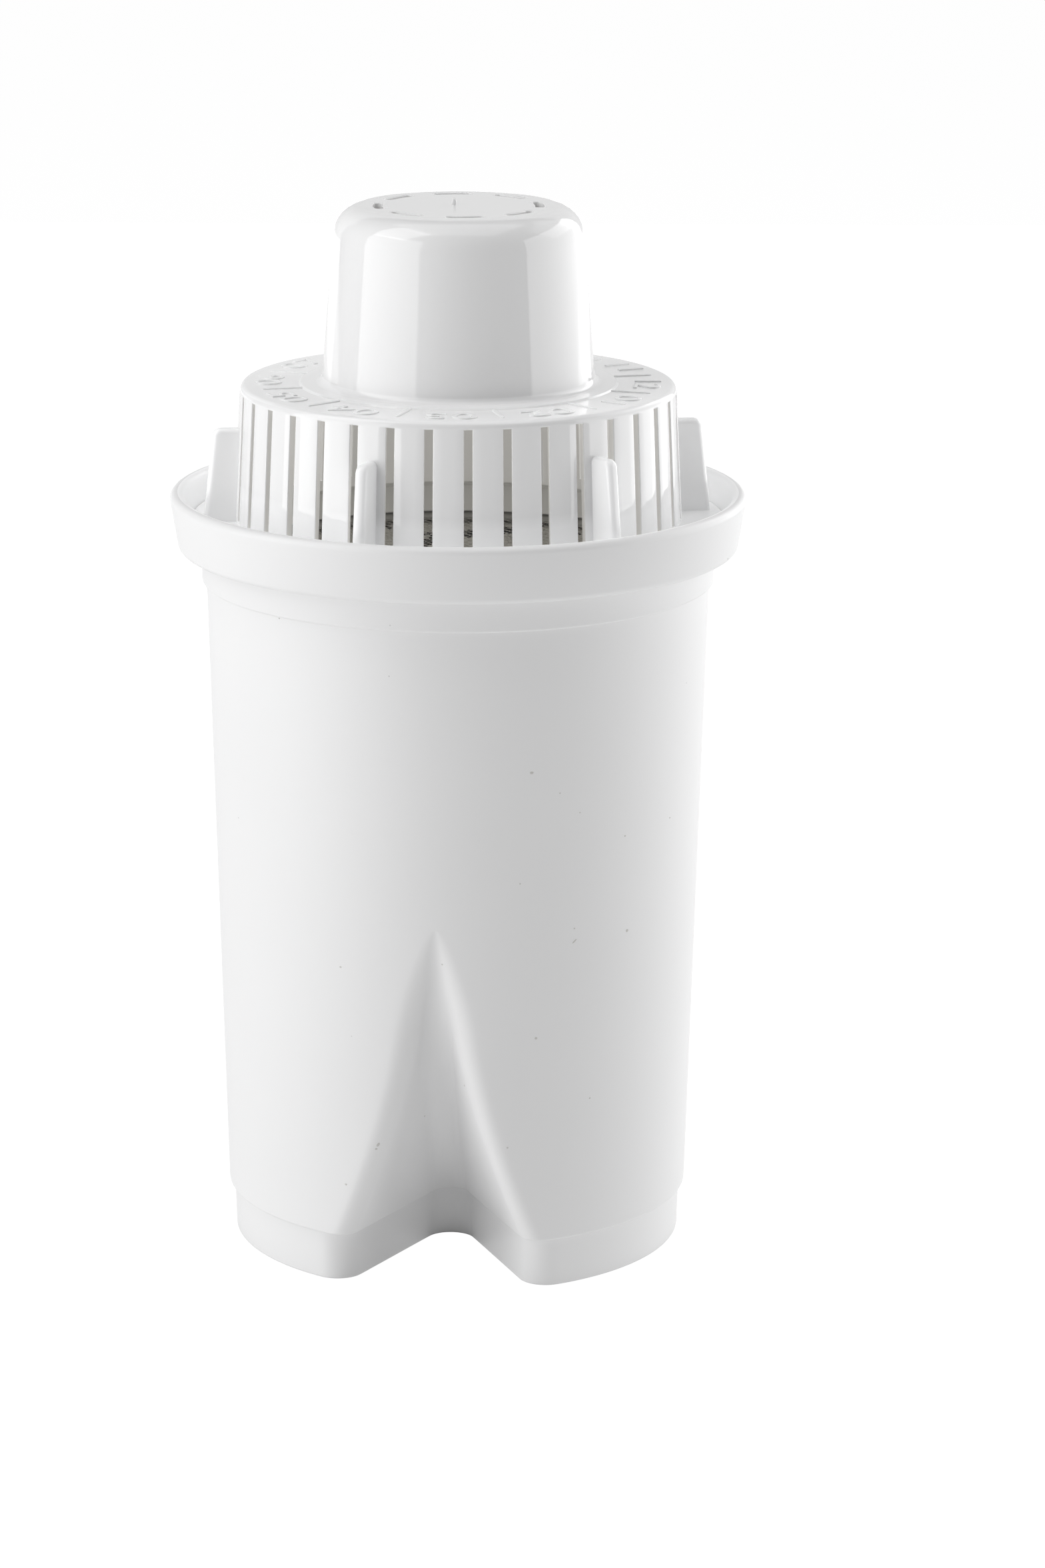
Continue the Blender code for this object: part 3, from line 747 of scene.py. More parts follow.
# %% [markdown]
# ## The cap
#
# The cap is a body of revolution: a hollow dome on a wide crown, and under it a flange that lies
# in the cup's mouth and a skirt that holds the screen down. Its crown has upright slots all round.
# They repeat, so they are left out of the grid itself: the columns are placed on the slots' edges,
# the squares between them are dropped, and the outer and inner wall are joined by the slot's
# sides. Near a slot the outer wall is drawn in by a quarter round, which softens its edge.

# %% Sizes of the cap
CAP_TURN = math.radians(-17.3)
CAP_WALL = 1.2 * MM
FLANGE_WIDTH = 5.5 * MM
CROWN_DRAFT = math.radians(2.8)
CROWN_EDGE_ROUND = 0.8 * MM
SHOULDER_THICKNESS = 0.9 * MM
HUB_RADIUS = 20.4 * MM
HUB_STEP = 0.25 * MM
HUB_ROUND = 0.18 * MM
HUB_HOLLOW = 0.12 * MM
FLANGE_ROUND = 0.2 * MM
SKIRT_HOLLOW = 0.3 * MM
CEILING_HOLLOW = 0.6 * MM
DOME_RADIUS = 17.65 * MM
DOME_DRAFT = math.radians(4.4)
DOME_TOP_ROUND = 3.9 * MM
DOME_FOOT_ROUND = 1.0 * MM
SLOT_COUNT = 36
SLOT_WIDTH = 1.07 * MM
SLOT_HEAD = 1.0 * MM
SLOT_SILL = 0.3 * MM
SLOT_ROUND = 0.14 * MM
SLOT_DRAFT = 0.32 * MM
VENT_RADIUS = 10.4 * MM
VENT_WIDTH = 1.17 * MM
CROWN_FOOT_RADIUS = FLANGE_RADIUS - FLANGE_WIDTH
CROWN_TOP_RADIUS = CROWN_FOOT_RADIUS - CROWN_HEIGHT * math.tan(CROWN_DRAFT)
SHOULDER_LEVEL = FUNNEL_FLOOR + CROWN_HEIGHT
SLOT_TOP, SLOT_FOOT = SHOULDER_LEVEL - SLOT_HEAD, FUNNEL_FLOOR + SLOT_SILL


def crown_radius(height):
    """The crown's outer wall, which leans in by its draft."""
    return CROWN_FOOT_RADIUS - (height - FUNNEL_FLOOR) * math.tan(CROWN_DRAFT)


def dome_radius(height):
    """The dome's outer wall, which leans in by its own draft."""
    return DOME_RADIUS - (height - SHOULDER_LEVEL) * math.tan(DOME_DRAFT)


print(f"crown radius {CROWN_TOP_RADIUS / MM:.2f} mm at its top, dome radius "
      f"{dome_radius(DOME_TOP) / MM:.2f} mm at its top")

# %% [markdown]
# The profile starts at the dome's pole, goes down the outside, round the skirt and back up inside.
# Rows and columns are placed where a slot's edge needs them: some rows just above and below the
# slots, and some columns just beside each slot, spaced as one minus a cosine, so that they crowd
# at the edge, where the quarter round is steepest.

# %% The profile and the columns of the cap
ROUND_SHARES = 1 - np.cos(np.linspace(0.0, math.pi / 2, 3))
WINDOW_ROWS = np.linspace(SLOT_TOP, SLOT_FOOT, 9)
BETWEEN_SLOTS = 0.36


def cap_corners():
    """Corners of the cap's wall: outside from the pole down, round the skirt and up inside."""
    skirt = SCREEN_RADIUS
    hub = SHOULDER_LEVEL + HUB_STEP
    ceiling = SHOULDER_LEVEL - SHOULDER_THICKNESS
    wall = CAP_WALL / math.cos(DOME_DRAFT)
    outer = [(crown_radius(z), z, 0.0) for z in SLOT_TOP + SLOT_ROUND * ROUND_SHARES[:0:-1]]
    outer += [(crown_radius(z), z, 0.0) for z in WINDOW_ROWS]
    outer += [(crown_radius(z), z, 0.0) for z in SLOT_FOOT - SLOT_ROUND * ROUND_SHARES[1:]]
    inner = [(crown_radius(z) - CAP_WALL, z, 0.0) for z in WINDOW_ROWS[::-1]]
    before = [
        (0.0, DOME_TOP, 0.0),
        (VENT_RADIUS - VENT_WIDTH, DOME_TOP, 0.0),
        (VENT_RADIUS + VENT_WIDTH, DOME_TOP, 0.0),
        (dome_radius(DOME_TOP), DOME_TOP, DOME_TOP_ROUND),
        (dome_radius(hub), hub, DOME_FOOT_ROUND),
        (HUB_RADIUS, hub, HUB_ROUND),
        (HUB_RADIUS + HUB_STEP, SHOULDER_LEVEL, HUB_HOLLOW),
        (CROWN_TOP_RADIUS, SHOULDER_LEVEL, CROWN_EDGE_ROUND),
    ]
    between = [
        (CROWN_FOOT_RADIUS, FUNNEL_FLOOR, SMALLEST_ROUND),
        (FLANGE_RADIUS, FUNNEL_FLOOR, FLANGE_ROUND),
        (FLANGE_RADIUS, FUNNEL_FLOOR - FLANGE_THICKNESS, SMALLEST_ROUND),
        (skirt, FUNNEL_FLOOR - FLANGE_THICKNESS, SMALLEST_ROUND),
        (skirt, SKIRT_FOOT, FLANGE_ROUND),
        (skirt - CAP_WALL, SKIRT_FOOT, FLANGE_ROUND),
        (skirt - CAP_WALL, FUNNEL_FLOOR - FLANGE_THICKNESS - CAP_WALL / 2, SKIRT_HOLLOW),
        (CROWN_FOOT_RADIUS - CAP_WALL, FUNNEL_FLOOR - CAP_WALL, SKIRT_HOLLOW),
    ]
    after = [
        (CROWN_TOP_RADIUS - CAP_WALL, ceiling, SMALLEST_ROUND),
        (dome_radius(ceiling) - wall, ceiling, CEILING_HOLLOW),
        (dome_radius(DOME_TOP - CAP_WALL) - wall, DOME_TOP - CAP_WALL, DOME_TOP_ROUND - CAP_WALL),
        (0.0, DOME_TOP - CAP_WALL, 0.0),
    ]
    window = len(before) + len(ROUND_SHARES) - 1
    behind = len(before) + len(outer) + len(between)
    return before + outer + between + inner + after, window, behind


def cap_azimuths():
    """Azimuths of the columns, with some on the edges of every slot.

    Returns them, how far each is from its slot's middle, and the number of the first slot's left
    edge. One more column on each side lies at a share of the period, BETWEEN_SLOTS.
    """
    edge = (SLOT_WIDTH / 2 + SLOT_ROUND * ROUND_SHARES) / CROWN_TOP_RADIUS
    period = 2 * math.pi / SLOT_COUNT
    aside = BETWEEN_SLOTS * period
    offsets = np.concatenate([[-period / 2, -aside], -edge[::-1], edge, [aside]])
    centres = period * (np.arange(SLOT_COUNT) + 0.5)
    columns = (centres[:, None] + offsets).ravel()
    return columns, np.tile(offsets, SLOT_COUNT), 2 + len(edge) - 1


print("columns of the cap:", len(cap_azimuths()[0]))

# %% [markdown]
# The quarter round is a formula of the distance from the slot: at the slot's edge the wall lies a
# full rounding deep, and one rounding away from it the wall is back on the cone. Each slot also
# widens inward by a draft, so its sides stay hidden from the front: on the inner wall the columns
# beside it move away from its middle, the nearest by the whole draft and the farthest not at all.


# %% Build the cap
def cap_surface():
    """Points and faces of the cap, with its slots left open and their sides closed."""
    corners, window, behind = cap_corners()
    line, starts = rounded(corners, steps=8)
    azimuths, offsets, left = cap_azimuths()
    rows, columns = len(line), len(azimuths)
    radius, height = line[:, :1], line[:, 1:]

    beside = np.maximum(np.abs(offsets) * CROWN_TOP_RADIUS - SLOT_WIDTH / 2, 0.0)
    above = np.maximum(np.maximum(height - SLOT_TOP, SLOT_FOOT - height), 0.0)
    distance = np.minimum(np.hypot(beside, above), SLOT_ROUND)
    drawn_in = SLOT_ROUND - np.sqrt(SLOT_ROUND**2 - (SLOT_ROUND - distance) ** 2)
    first, last = starts[window], starts[window] + len(WINDOW_ROWS) - 1
    margin = len(ROUND_SHARES) - 1
    on_crown = np.zeros((rows, 1))
    on_crown[first - margin : last + margin + 1] = 1.0
    low, high = starts[behind], starts[behind] + len(WINDOW_ROWS) - 1
    within = np.zeros((rows, 1))
    within[low : high + 1] = SLOT_DRAFT / CROWN_TOP_RADIUS
    away = np.abs(offsets)
    free = (away.max() - away) / (away.max() - away.min())
    moved = azimuths + within * np.sign(offsets) * free
    points = around(radius - drawn_in * on_crown, moved + CAP_TURN, height)

    number = np.arange(rows * columns).reshape(rows, columns)
    faces = ring_faces(rows, columns).reshape(rows - 1, columns, 4)
    per_slot = columns // SLOT_COUNT
    lefts = left + per_slot * np.arange(SLOT_COUNT)
    kept = np.ones((rows - 1, columns), bool)
    kept[first:last, lefts] = False
    kept[low:high, lefts] = False

    outer, inner = number[first : last + 1], number[low : high + 1][::-1]
    sides = []
    for column in (lefts, lefts + 1):
        out, back = outer[:, column], inner[:, column]
        sides.append(np.stack([out[:-1], out[1:], back[1:], back[:-1]], -1).reshape(-1, 4))
    for row in (0, -1):
        out, back = outer[row], inner[row]
        ends = [out[lefts], out[lefts + 1], back[lefts + 1], back[lefts]]
        sides.append(np.stack(ends, -1).reshape(-1, 4))
    return points.reshape(-1, 3), np.concatenate([faces[kept], *sides]).tolist()


def is_inside(middle, normal):
    """Whether faces of the cap look at the axis or down, within the skirt's wall."""
    within = np.hypot(middle[0], middle[1]) < SCREEN_RADIUS - CAP_WALL / 2
    within &= middle[2] < DOME_TOP - CAP_WALL / 2
    return within & (looks_inward(middle, normal) | (normal[2] < -0.9))


def is_flange(middle, normal):
    """Whether faces are the top of the flange."""
    outside = np.hypot(middle[0], middle[1]) > CROWN_FOOT_RADIUS
    return outside & (normal[2] > 0.5) & (middle[2] < FUNNEL_FLOOR + 0.2 * MM)


def is_roof(middle, normal):
    """Whether faces are on the thin roof of the crown, which carries the dial."""
    above = middle[2] > SHOULDER_LEVEL - 0.3 * MM
    below = middle[2] < SHOULDER_LEVEL + HUB_STEP + DOME_FOOT_ROUND
    return above & below & (normal[2] > 0.3)


cap = make_piece("cap_shell", *cap_surface(), cap_plastic)
refinish(cap, cap_inside_shaded, is_inside)
refinish(cap, cap_fin_glow, is_flange)
refinish(cap, cap_roof, is_roof)
print("faces of the cap before its vents:", len(cap.data.polygons))

# %% [markdown]
# Air leaves through arc shaped vents in the top of the dome. Their mouths flare a little, which is
# the rounding that the mould leaves on them.

# %% Cut the vents
VENT_COUNT = 8
VENT_ARC = math.radians(28)
VENT_TURN = math.radians(27)
VENT_FLARE = 0.2 * MM


def evenly(count, first):
    """Azimuths of pieces that repeat round the axis: the first, plus equal shares of a turn."""
    return first + 2 * math.pi * np.arange(count) / count


def vents():
    """Cutters for the vents, each with a mouth that flares by one minus the sine of an angle."""
    deep = np.linspace(0.0, math.pi / 2, 5)
    wider, lower = VENT_FLARE * (1 - np.sin(deep)), VENT_FLARE * (1 - np.cos(deep))
    mouth = np.stack([wider, DOME_TOP - lower], -1)
    above, below = (VENT_FLARE, DOME_TOP + CAP_WALL), (0.0, DOME_TOP - 2 * CAP_WALL)
    profile = np.concatenate([[above], mouth, [below]])
    turns = evenly(VENT_COUNT, CAP_TURN + VENT_TURN)
    return gather([bent_slot(VENT_RADIUS, t, VENT_ARC, VENT_WIDTH, profile) for t in turns])


cut(cap, "vents", *vents())
seat(cap, "cap_plastic", "cap")

# %% [markdown]
# Six upright fins stand on the flange against the crown. Each is a plate: one outline with a round
# shoulder, repeated across the plate's thickness and drawn in near both faces by a quarter round.

# %% Build the fins
FIN_COUNT = 6
FIN_THICKNESS = 1.65 * MM
FIN_HEIGHT = 12.2 * MM
FIN_BASE_DEPTH = 4.2 * MM
FIN_TOP_DEPTH = 3.4 * MM
FIN_CORNER_ROUND = 1.2 * MM
FIN_EDGE_ROUND = 0.68 * MM


def turned(x, y, angle):
    """Points turned about the axis: x cos - y sin, and x sin + y cos."""
    return x * np.cos(angle) - y * np.sin(angle), x * np.sin(angle) + y * np.cos(angle)


def fin_rows():
    """Rows of (across, radius, height) round one fin, from its left face to its right face.

    Over half a turn, the outline is drawn in by the edge's rounding times one minus the sine,
    and lies at the rounding times minus the cosine from the flat middle of the plate.
    """
    root = CROWN_TOP_RADIUS - CAP_WALL / 2
    foot = FUNNEL_FLOOR - FLANGE_THICKNESS / 2
    top = FUNNEL_FLOOR + FIN_HEIGHT
    turn = np.linspace(0.0, math.pi, 13)
    rows = []
    for angle in turn:
        inset = FIN_EDGE_ROUND * (1 - math.sin(angle))
        across = math.copysign(FIN_THICKNESS / 2 - FIN_EDGE_ROUND, -math.cos(angle))
        across -= FIN_EDGE_ROUND * math.cos(angle)
        side, _ = rounded([
            (root, foot, 0.0),
            (CROWN_FOOT_RADIUS + FIN_BASE_DEPTH - inset, foot, 0.0),
            (crown_radius(top) + FIN_TOP_DEPTH - inset, top - inset, FIN_CORNER_ROUND - inset),
            (root, top - inset, 0.0),
        ], steps=8)
        rows.append(np.column_stack([np.full(len(side), across), side]))
    return np.array(rows)


def fins():
    """All six fins: one plate, turned about the axis by equal steps."""
    across, radius, height = np.moveaxis(fin_rows(), -1, 0)
    plates = []
    for turn in evenly(FIN_COUNT, CAP_TURN):
        x, y = turned(across, -radius, turn)
        plates.append(closed_skin(np.stack([x, y, height], -1)))
    return gather(plates)


seat(make_piece("cap_fins", *fins(), cap_fin_glow), "cap_plastic")

# %% [markdown]
# ## The dial
#
# The roof of the crown is a dial, which tells when the cartridge has to be changed. Low ribs part
# it into twelve fields, and each holds a raised plain number. The ribs are superellipsoids: boxes
# with soft edges, from signed powers of sines.

# %% Ribs between the fields, and the gate mark
DIVIDER_COUNT = 12
DIVIDER_WIDTH = 0.7 * MM
DIVIDER_HEIGHT = 0.18 * MM
DIVIDER_MARGIN = 2.4 * MM
GATE_OFFSET = -0.6 * MM
GATE_RADIUS = 0.32 * MM


def soft_box(size, softness, steps=12):
    """Rows of a box with soft edges, centred on the origin.

    Each coordinate is a sine or cosine raised to a small power, with its sign kept.
    """
    def power(values):
        return np.sign(values) * np.abs(values) ** softness

    down = np.linspace(-math.pi / 2, math.pi / 2, steps + 1)[:, None]
    round_ = np.linspace(0.0, 2 * math.pi, 2 * steps, endpoint=False)
    x = power(np.cos(down)) * power(np.cos(round_))
    y = power(np.cos(down)) * power(np.sin(round_))
    z = power(np.sin(down)) * np.ones_like(round_)
    return np.stack([x, y, z], -1) * (np.array(size) / 2)


def dividers():
    """Twelve ribs across the shoulder, each half sunk into it."""
    near, far = HUB_RADIUS - DIVIDER_WIDTH / 2, CROWN_TOP_RADIUS - DIVIDER_MARGIN
    box = soft_box((DIVIDER_WIDTH, far - near, 2 * DIVIDER_HEIGHT), 0.6)
    ribs = []
    for turn in evenly(DIVIDER_COUNT, CAP_TURN + math.pi / SLOT_COUNT):
        x, y = turned(box[..., 0], box[..., 1] - (near + far) / 2, turn)
        ribs.append(closed_skin(np.stack([x, y, box[..., 2] + SHOULDER_LEVEL], -1)))
    return gather(ribs)


def gate_mark():
    """The small nub that the mould's gate leaves on the top of the dome."""
    nub = soft_box((2 * GATE_RADIUS, 2 * GATE_RADIUS, 2 * GATE_HEIGHT), 0.7)
    return closed_skin(nub + (GATE_OFFSET, 0.0, DOME_TOP))


seat(make_piece("dial_ribs", *gather([dividers(), gate_mark()]), cap_roof), "cap_plastic")

# %% [markdown]
# The numbers are Blender's own text, drawn out sideways. It is turned into a mesh first, then laid
# on the shoulder with its top pointing outward, as on the real dial.

# %% Numbers on the dial
NUMBER_HEIGHT = 3.6 * MM
NUMBER_RELIEF = 0.20 * MM
NUMBER_STRETCH = 1.45
NUMBER_RADIUS = 24.3 * MM
NUMBER_FIRST = math.radians(62.7)
NUMBER_BEVEL = 0.08 * MM
DIGIT_SHARE = 0.72


def number_mesh(value):
    """One raised number as a mesh, centred on the origin and facing up."""
    words = bpy.data.curves.new(f"number_{value}", "FONT")
    words.body = f"{value:02d}"
    words.size = NUMBER_HEIGHT / DIGIT_SHARE
    words.extrude = NUMBER_RELIEF / 2
    words.bevel_depth = NUMBER_BEVEL
    words.bevel_resolution = 2
    words.offset = -NUMBER_BEVEL
    words.align_x, words.align_y = "CENTER", "CENTER"
    holder = bpy.data.objects.new(words.name, words)
    bpy.context.scene.collection.objects.link(holder)
    depsgraph = bpy.context.evaluated_depsgraph_get()
    mesh = bpy.data.meshes.new_from_object(holder.evaluated_get(depsgraph))
    bpy.data.objects.remove(holder)
    return mesh


def dial_numbers():
    """Points and faces of the numbers 1 to 12, clockwise from above.

    Each is bent round the axis: its y is added to the numbers' radius, and its x, stretched, is
    laid off along the circle, so the angle is x over that radius.
    """
    shapes = []
    for value in range(1, DIVIDER_COUNT + 1):
        mesh = number_mesh(value)
        flat = np.empty(len(mesh.vertices) * 3)
        mesh.vertices.foreach_get("co", flat)
        x, y, z = flat.reshape(-1, 3).T
        azimuth = NUMBER_FIRST - 2 * math.pi * (value - 1) / DIVIDER_COUNT
        radius = NUMBER_RADIUS + y
        points = around(radius, azimuth - NUMBER_STRETCH * x / NUMBER_RADIUS, z + SHOULDER_LEVEL)
        shapes.append((points, [list(face.vertices) for face in mesh.polygons]))
        bpy.data.meshes.remove(mesh)
    return gather(shapes)


seat(make_piece("dial_numbers", *dial_numbers(), cap_roof), "cap_plastic")

# %% [markdown]
# ## Specks on the cup
#
# A few grey specks are moulded into the cup's skin or cling to it. They are single marks with
# places of their own, so they are a list and not a pattern, each read off the photograph. A speck
# is a thin lens: a ray from outside towards the axis finds the skin at its azimuth and height, and
# the lens is laid on the skin there, turned out of the level where the mark is slanted.

# %% Lay the specks
SPECK_RELIEF = 0.04 * MM
SPECKS = [
    # azimuth in degrees and height, length and width in millimetres, and the turn in degrees
    (22.0, 69.7, 0.50, 0.36, 0), (19.6, 55.2, 0.20, 0.16, 0), (33.3, 48.5, 0.24, 0.20, 0),
    (33.4, 46.8, 0.80, 0.20, 42), (48.8, 46.8, 0.46, 0.40, 0), (47.2, 59.6, 0.28, 0.24, 0),
    (64.1, 60.1, 0.26, 0.20, 0), (-23.1, 43.3, 0.34, 0.22, 0), (1.6, 44.6, 0.24, 0.22, 0),
    (24.0, 34.4, 0.36, 0.32, 0), (7.1, 27.7, 0.30, 0.24, 80), (-6.1, 21.2, 0.28, 0.22, 0),
    (38.7, 25.2, 0.26, 0.22, 0), (-14.3, 19.8, 0.62, 0.36, 60), (-14.8, 19.2, 0.34, 0.26, 0),
    (-22.7, 13.9, 0.34, 0.26, 0), (17.3, 19.9, 0.28, 0.22, 0), (34.1, 63.8, 0.20, 0.16, 0),
    (28.9, 66.7, 0.20, 0.16, 0), (76.9, 93.1, 0.30, 0.26, 0), (-38.4, 87.9, 0.26, 0.20, 0),
]


def specks(piece):
    """Thin lenses on a piece's skin, one for each row of the table.

    A lens's own axes are the level line on the skin and the line straight up it, both turned by
    the speck's turn, and the normal.
    """
    bpy.context.view_layer.update()
    lenses = []
    for azimuth, height, length, width, turn in SPECKS:
        azimuth, turn = math.radians(azimuth), math.radians(turn)
        start = around(2 * RIM_RADIUS, azimuth, height * MM)
        inward = around(-1.0, azimuth, 0.0)
        _, spot, normal, _ = piece.ray_cast(start.tolist(), inward.tolist())
        normal = np.array(normal)
        level = np.cross((0.0, 0.0, 1.0), normal)
        level /= np.linalg.norm(level)
        upward = np.cross(normal, level)
        along = level * math.cos(turn) + upward * math.sin(turn)
        across = upward * math.cos(turn) - level * math.sin(turn)
        lens = soft_box((length * MM, width * MM, 2 * SPECK_RELIEF), 1.0, 6)
        lenses.append(closed_skin(np.array(spot) + lens @ np.array([along, across, normal])))
    return gather(lenses)


grime = Finish("speck_grey", (0.52, 0.51, 0.49), 0.6)
grime.mottle((0.50, 0.49, 0.47), (0.68, 0.67, 0.65), 2 * MM)
seat(make_piece("cup_specks", *specks(cup), grime.material), "cup_plastic")

# %% [markdown]
# ## The screen under the cap
#
# A disc of woven thread keeps the granules in. Each thread is a thin tube that rises over one
# crossing thread and dips under the next, so its height is a cosine of the distance along it, and
# the threads of the other direction have the opposite phase. There are hundreds of crossings, so a
# tube has only five sides. A flat border, where the fabric is welded, holds the threads' ends. Its
# dark grey is painted shade, for the shadow at the screen's edge under the skirt, and it makes the
# grey band that shows through the slots.

# %% Weave the inlet screen
THREAD_PITCH = 1.0 * MM
THREAD_RADIUS = 0.028 * MM
WEAVE_TURN = math.radians(32)
BORDER_WIDTH = 3.3 * MM
BORDER_ROUND = 0.15 * MM
BORDER_COLUMNS = 144


def screen_threads():
    """Points and faces of both sets of threads.

    At a distance s along it, a thread's middle is the swing times the cosine of pi times s over
    the pitch above the screen's middle, with half a turn more on every other thread.
    """
    middle = (SCREEN_FOOT + SCREEN_TOP) / 2
    swing = 1.2 * THREAD_RADIUS
    turn = np.linspace(0.0, 2 * math.pi, 5, endpoint=False)
    reach = SCREEN_RADIUS - BORDER_WIDTH + 2 * THREAD_RADIUS
    lines = np.arange(-int(reach / THREAD_PITCH), int(reach / THREAD_PITCH) + 1)
    threads = []
    for i in lines:
        offset = i * THREAD_PITCH
        length = math.sqrt(reach**2 - offset**2)
        count = 2 * int(2 * length / THREAD_PITCH) + 3
        along = np.linspace(-length, length, count)[:, None]
        for way in (0, 1):
            phase = math.pi * (along / THREAD_PITCH + i + way)
            high = middle + swing * np.cos(phase) + THREAD_RADIUS * np.sin(turn)
            wide = offset + THREAD_RADIUS * np.cos(turn) + 0 * along
            run = along + 0 * turn
            x, y = (run, wide) if way else (wide, run)
            x, y = turned(x, y, WEAVE_TURN)
            threads.append(closed_skin(np.stack([x, y, high], -1)))
    return gather(threads)


def screen_border():
    """The welded border: a flat ring with soft edges, from a closed profile spun round the axis."""
    far, near = SCREEN_RADIUS, SCREEN_RADIUS - BORDER_WIDTH
    middle = (near + far) / 2
    line, _ = rounded([
        (middle, SCREEN_FOOT, 0.0),
        (far, SCREEN_FOOT, BORDER_ROUND),
        (far, SCREEN_TOP, BORDER_ROUND),
        (near, SCREEN_TOP, BORDER_ROUND),
        (near, SCREEN_FOOT, BORDER_ROUND),
        (middle, SCREEN_FOOT, 0.0),
    ], steps=3)
    points = around(line[:, :1], evenly(BORDER_COLUMNS, 0.0), line[:, 1:])
    return points, ring_faces(len(line), BORDER_COLUMNS).tolist()


thread = Finish("screen_thread", (0.70, 0.69, 0.66), 0.5)
fuzz = thread.mottle((0.74, 0.73, 0.70), (0.60, 0.59, 0.56), 0.25 * MM)
thread.bump(fuzz, 0.01 * MM)
seat(make_piece("woven_screen", *screen_threads(), thread.material), "screen_mesh", "inlet_screen")

# The border's dark grey is painted shade: the shadow at the screen's edge, under the skirt.
border_shade = Finish("screen_border_painted_shade", (0.40, 0.397, 0.385), 0.5)
border_shade.mottle((0.43, 0.427, 0.412), (0.36, 0.356, 0.342), 0.6 * MM)
seat(make_piece("screen_border", *screen_border(), border_shade.material), "screen_mesh")

# %% [markdown]
# ## Granules
#
# Black carbon granules and pale resin beads fill the cup. Only the top layer shows, through the
# slots and the screen, so it is made of real grains, and the rest is one solid body in the cup's
# own shape. The grains lie on a jittered grid. Carbon is lighter than resin and drifts together,
# mostly in a seam across the bed, with a few blotches elsewhere. There are thousands of grains, so
# one ball has only a few dozen faces, and dents in it give each grain a shape of its own.

# %% Fill the cup
GRAIN_PITCH = 0.92 * MM
GRAIN_LAYER = 0.55 * MM
SEAM_OFFSET = 21.2 * MM
SEAM_SLOPE = 0.92
SEAM_WIDTH = 2.0 * MM
SEAM_REACH = 9.0 * MM
CARBON_LIMIT = 0.8
GRAIN_JITTER = 0.2
GRAIN_SINK = 0.15 * MM
BALL_STEPS = 4
seed = np.random.default_rng(7)


def bed_rows():
    """Levels of the solid bed, from the outlet screen up to the layer of loose grains."""
    inset = CUP_WALL + SEAT_GAP
    return np.concatenate([
        foot_rows([BED_FOOT, FOOT_HEIGHT - inset / 2], inset),
        body_rows(np.linspace(FOOT_HEIGHT + inset / 2, NOTCH_HEIGHT, 14), inset),
        cone_rows([NOTCH_HEIGHT + MM, BED_TOP - GRAIN_LAYER], inset),
    ])


def carbon_drift(x, y):
    """How much carbon gathers at a point.

    A bell curve across the seam, a slanted line that crosses the line x = 0 at y = SEAM_OFFSET,
    plus three waves of unlike lengths and directions, which have no grid to them.
    """
    beside = (y - SEAM_OFFSET - SEAM_SLOPE * x) / SEAM_WIDTH
    seam = 2.6 * np.exp(-(beside**2)) * (np.abs(x) < SEAM_REACH)
    long_wave = np.sin(x / (2.1 * MM) + 1.7 * np.sin(y / (3.7 * MM)))
    cross_wave = np.sin(y / (1.6 * MM) - 1.3 * np.sin(x / (2.9 * MM) + 0.8))
    return seam + 0.4 * (long_wave + cross_wave + 0.8 * np.sin((x + y) / (1.2 * MM) + 2.0))


def grain_places():
    """Middles of the grains: a grid of staggered rows, each grain moved a little at random."""
    reach = BED_RADIUS - GRAIN_PITCH / 2
    count = int(reach / GRAIN_PITCH) + 1
    i, j = np.meshgrid(np.arange(-count, count + 1), np.arange(-count - 4, count + 5))
    x = (i + 0.5 * (j % 2)) * GRAIN_PITCH
    y = j * GRAIN_PITCH * math.sqrt(3) / 2
    jitter = seed.uniform(-GRAIN_JITTER, GRAIN_JITTER, (2, x.size)) * GRAIN_PITCH
    x, y = x.ravel() + jitter[0], y.ravel() + jitter[1]
    inside = np.hypot(x, y) < reach
    return x[inside], y[inside]


def grains(x, y, size, raggedness):
    """Points and faces of many grains: one small ball, stretched, dented and moved for each.

    The ball is the sine of an angle down from its pole times the cosine and sine of one round it,
    and that first angle's cosine. Every grain multiplies it by its own three stretches and by a
    random dent at each point, and is then turned about its upright axis.
    """
    down = np.linspace(0.0, math.pi, BALL_STEPS + 1)[:, None]
    round_ = np.linspace(0.0, 2 * math.pi, 2 * BALL_STEPS, endpoint=False)
    ball = np.stack([np.sin(down) * np.cos(round_), np.sin(down) * np.sin(round_),
                     np.cos(down) + 0 * round_], -1)
    stretch = seed.uniform(1 - raggedness, 1 + raggedness / 2, (len(x), 1, 1, 3))
    stretch *= size[:, None, None, None]
    dents = 1 + raggedness * seed.uniform(-0.6, 0.6, (len(x), *ball.shape[:2], 1))
    dents[:, 0], dents[:, -1] = 1.0, 1.0
    solid = ball * stretch * dents
    turn = seed.uniform(0.0, 2 * math.pi, (len(x), 1, 1))
    spun_x, spun_y = turned(solid[..., 0], solid[..., 1], turn)
    top = BED_TOP - solid[..., 2].max(axis=(1, 2), keepdims=True)
    points = np.stack([
        x[:, None, None] + spun_x,
        y[:, None, None] + spun_y,
        top + solid[..., 2] - seed.uniform(0.0, GRAIN_SINK, (len(x), 1, 1)),
    ], -1)
    rows, columns = ball.shape[:2]
    faces = ring_faces(rows, columns) + rows * columns * np.arange(len(x))[:, None, None]
    return points.reshape(-1, 3), faces.reshape(-1, 4).tolist()


grain_x, grain_y = grain_places()
drift = carbon_drift(grain_x, grain_y) + seed.uniform(-0.4, 0.4, grain_x.size)
is_carbon = drift > CARBON_LIMIT
print(f"{grain_x.size} grains, {is_carbon.mean():.0%} of them carbon")

# %% [markdown]
# Carbon is matt black with a fine sparkle on its broken faces. The resin beads are a pale warm
# grey, each of its own shade, and the solid bed below them takes both colours in blotches.


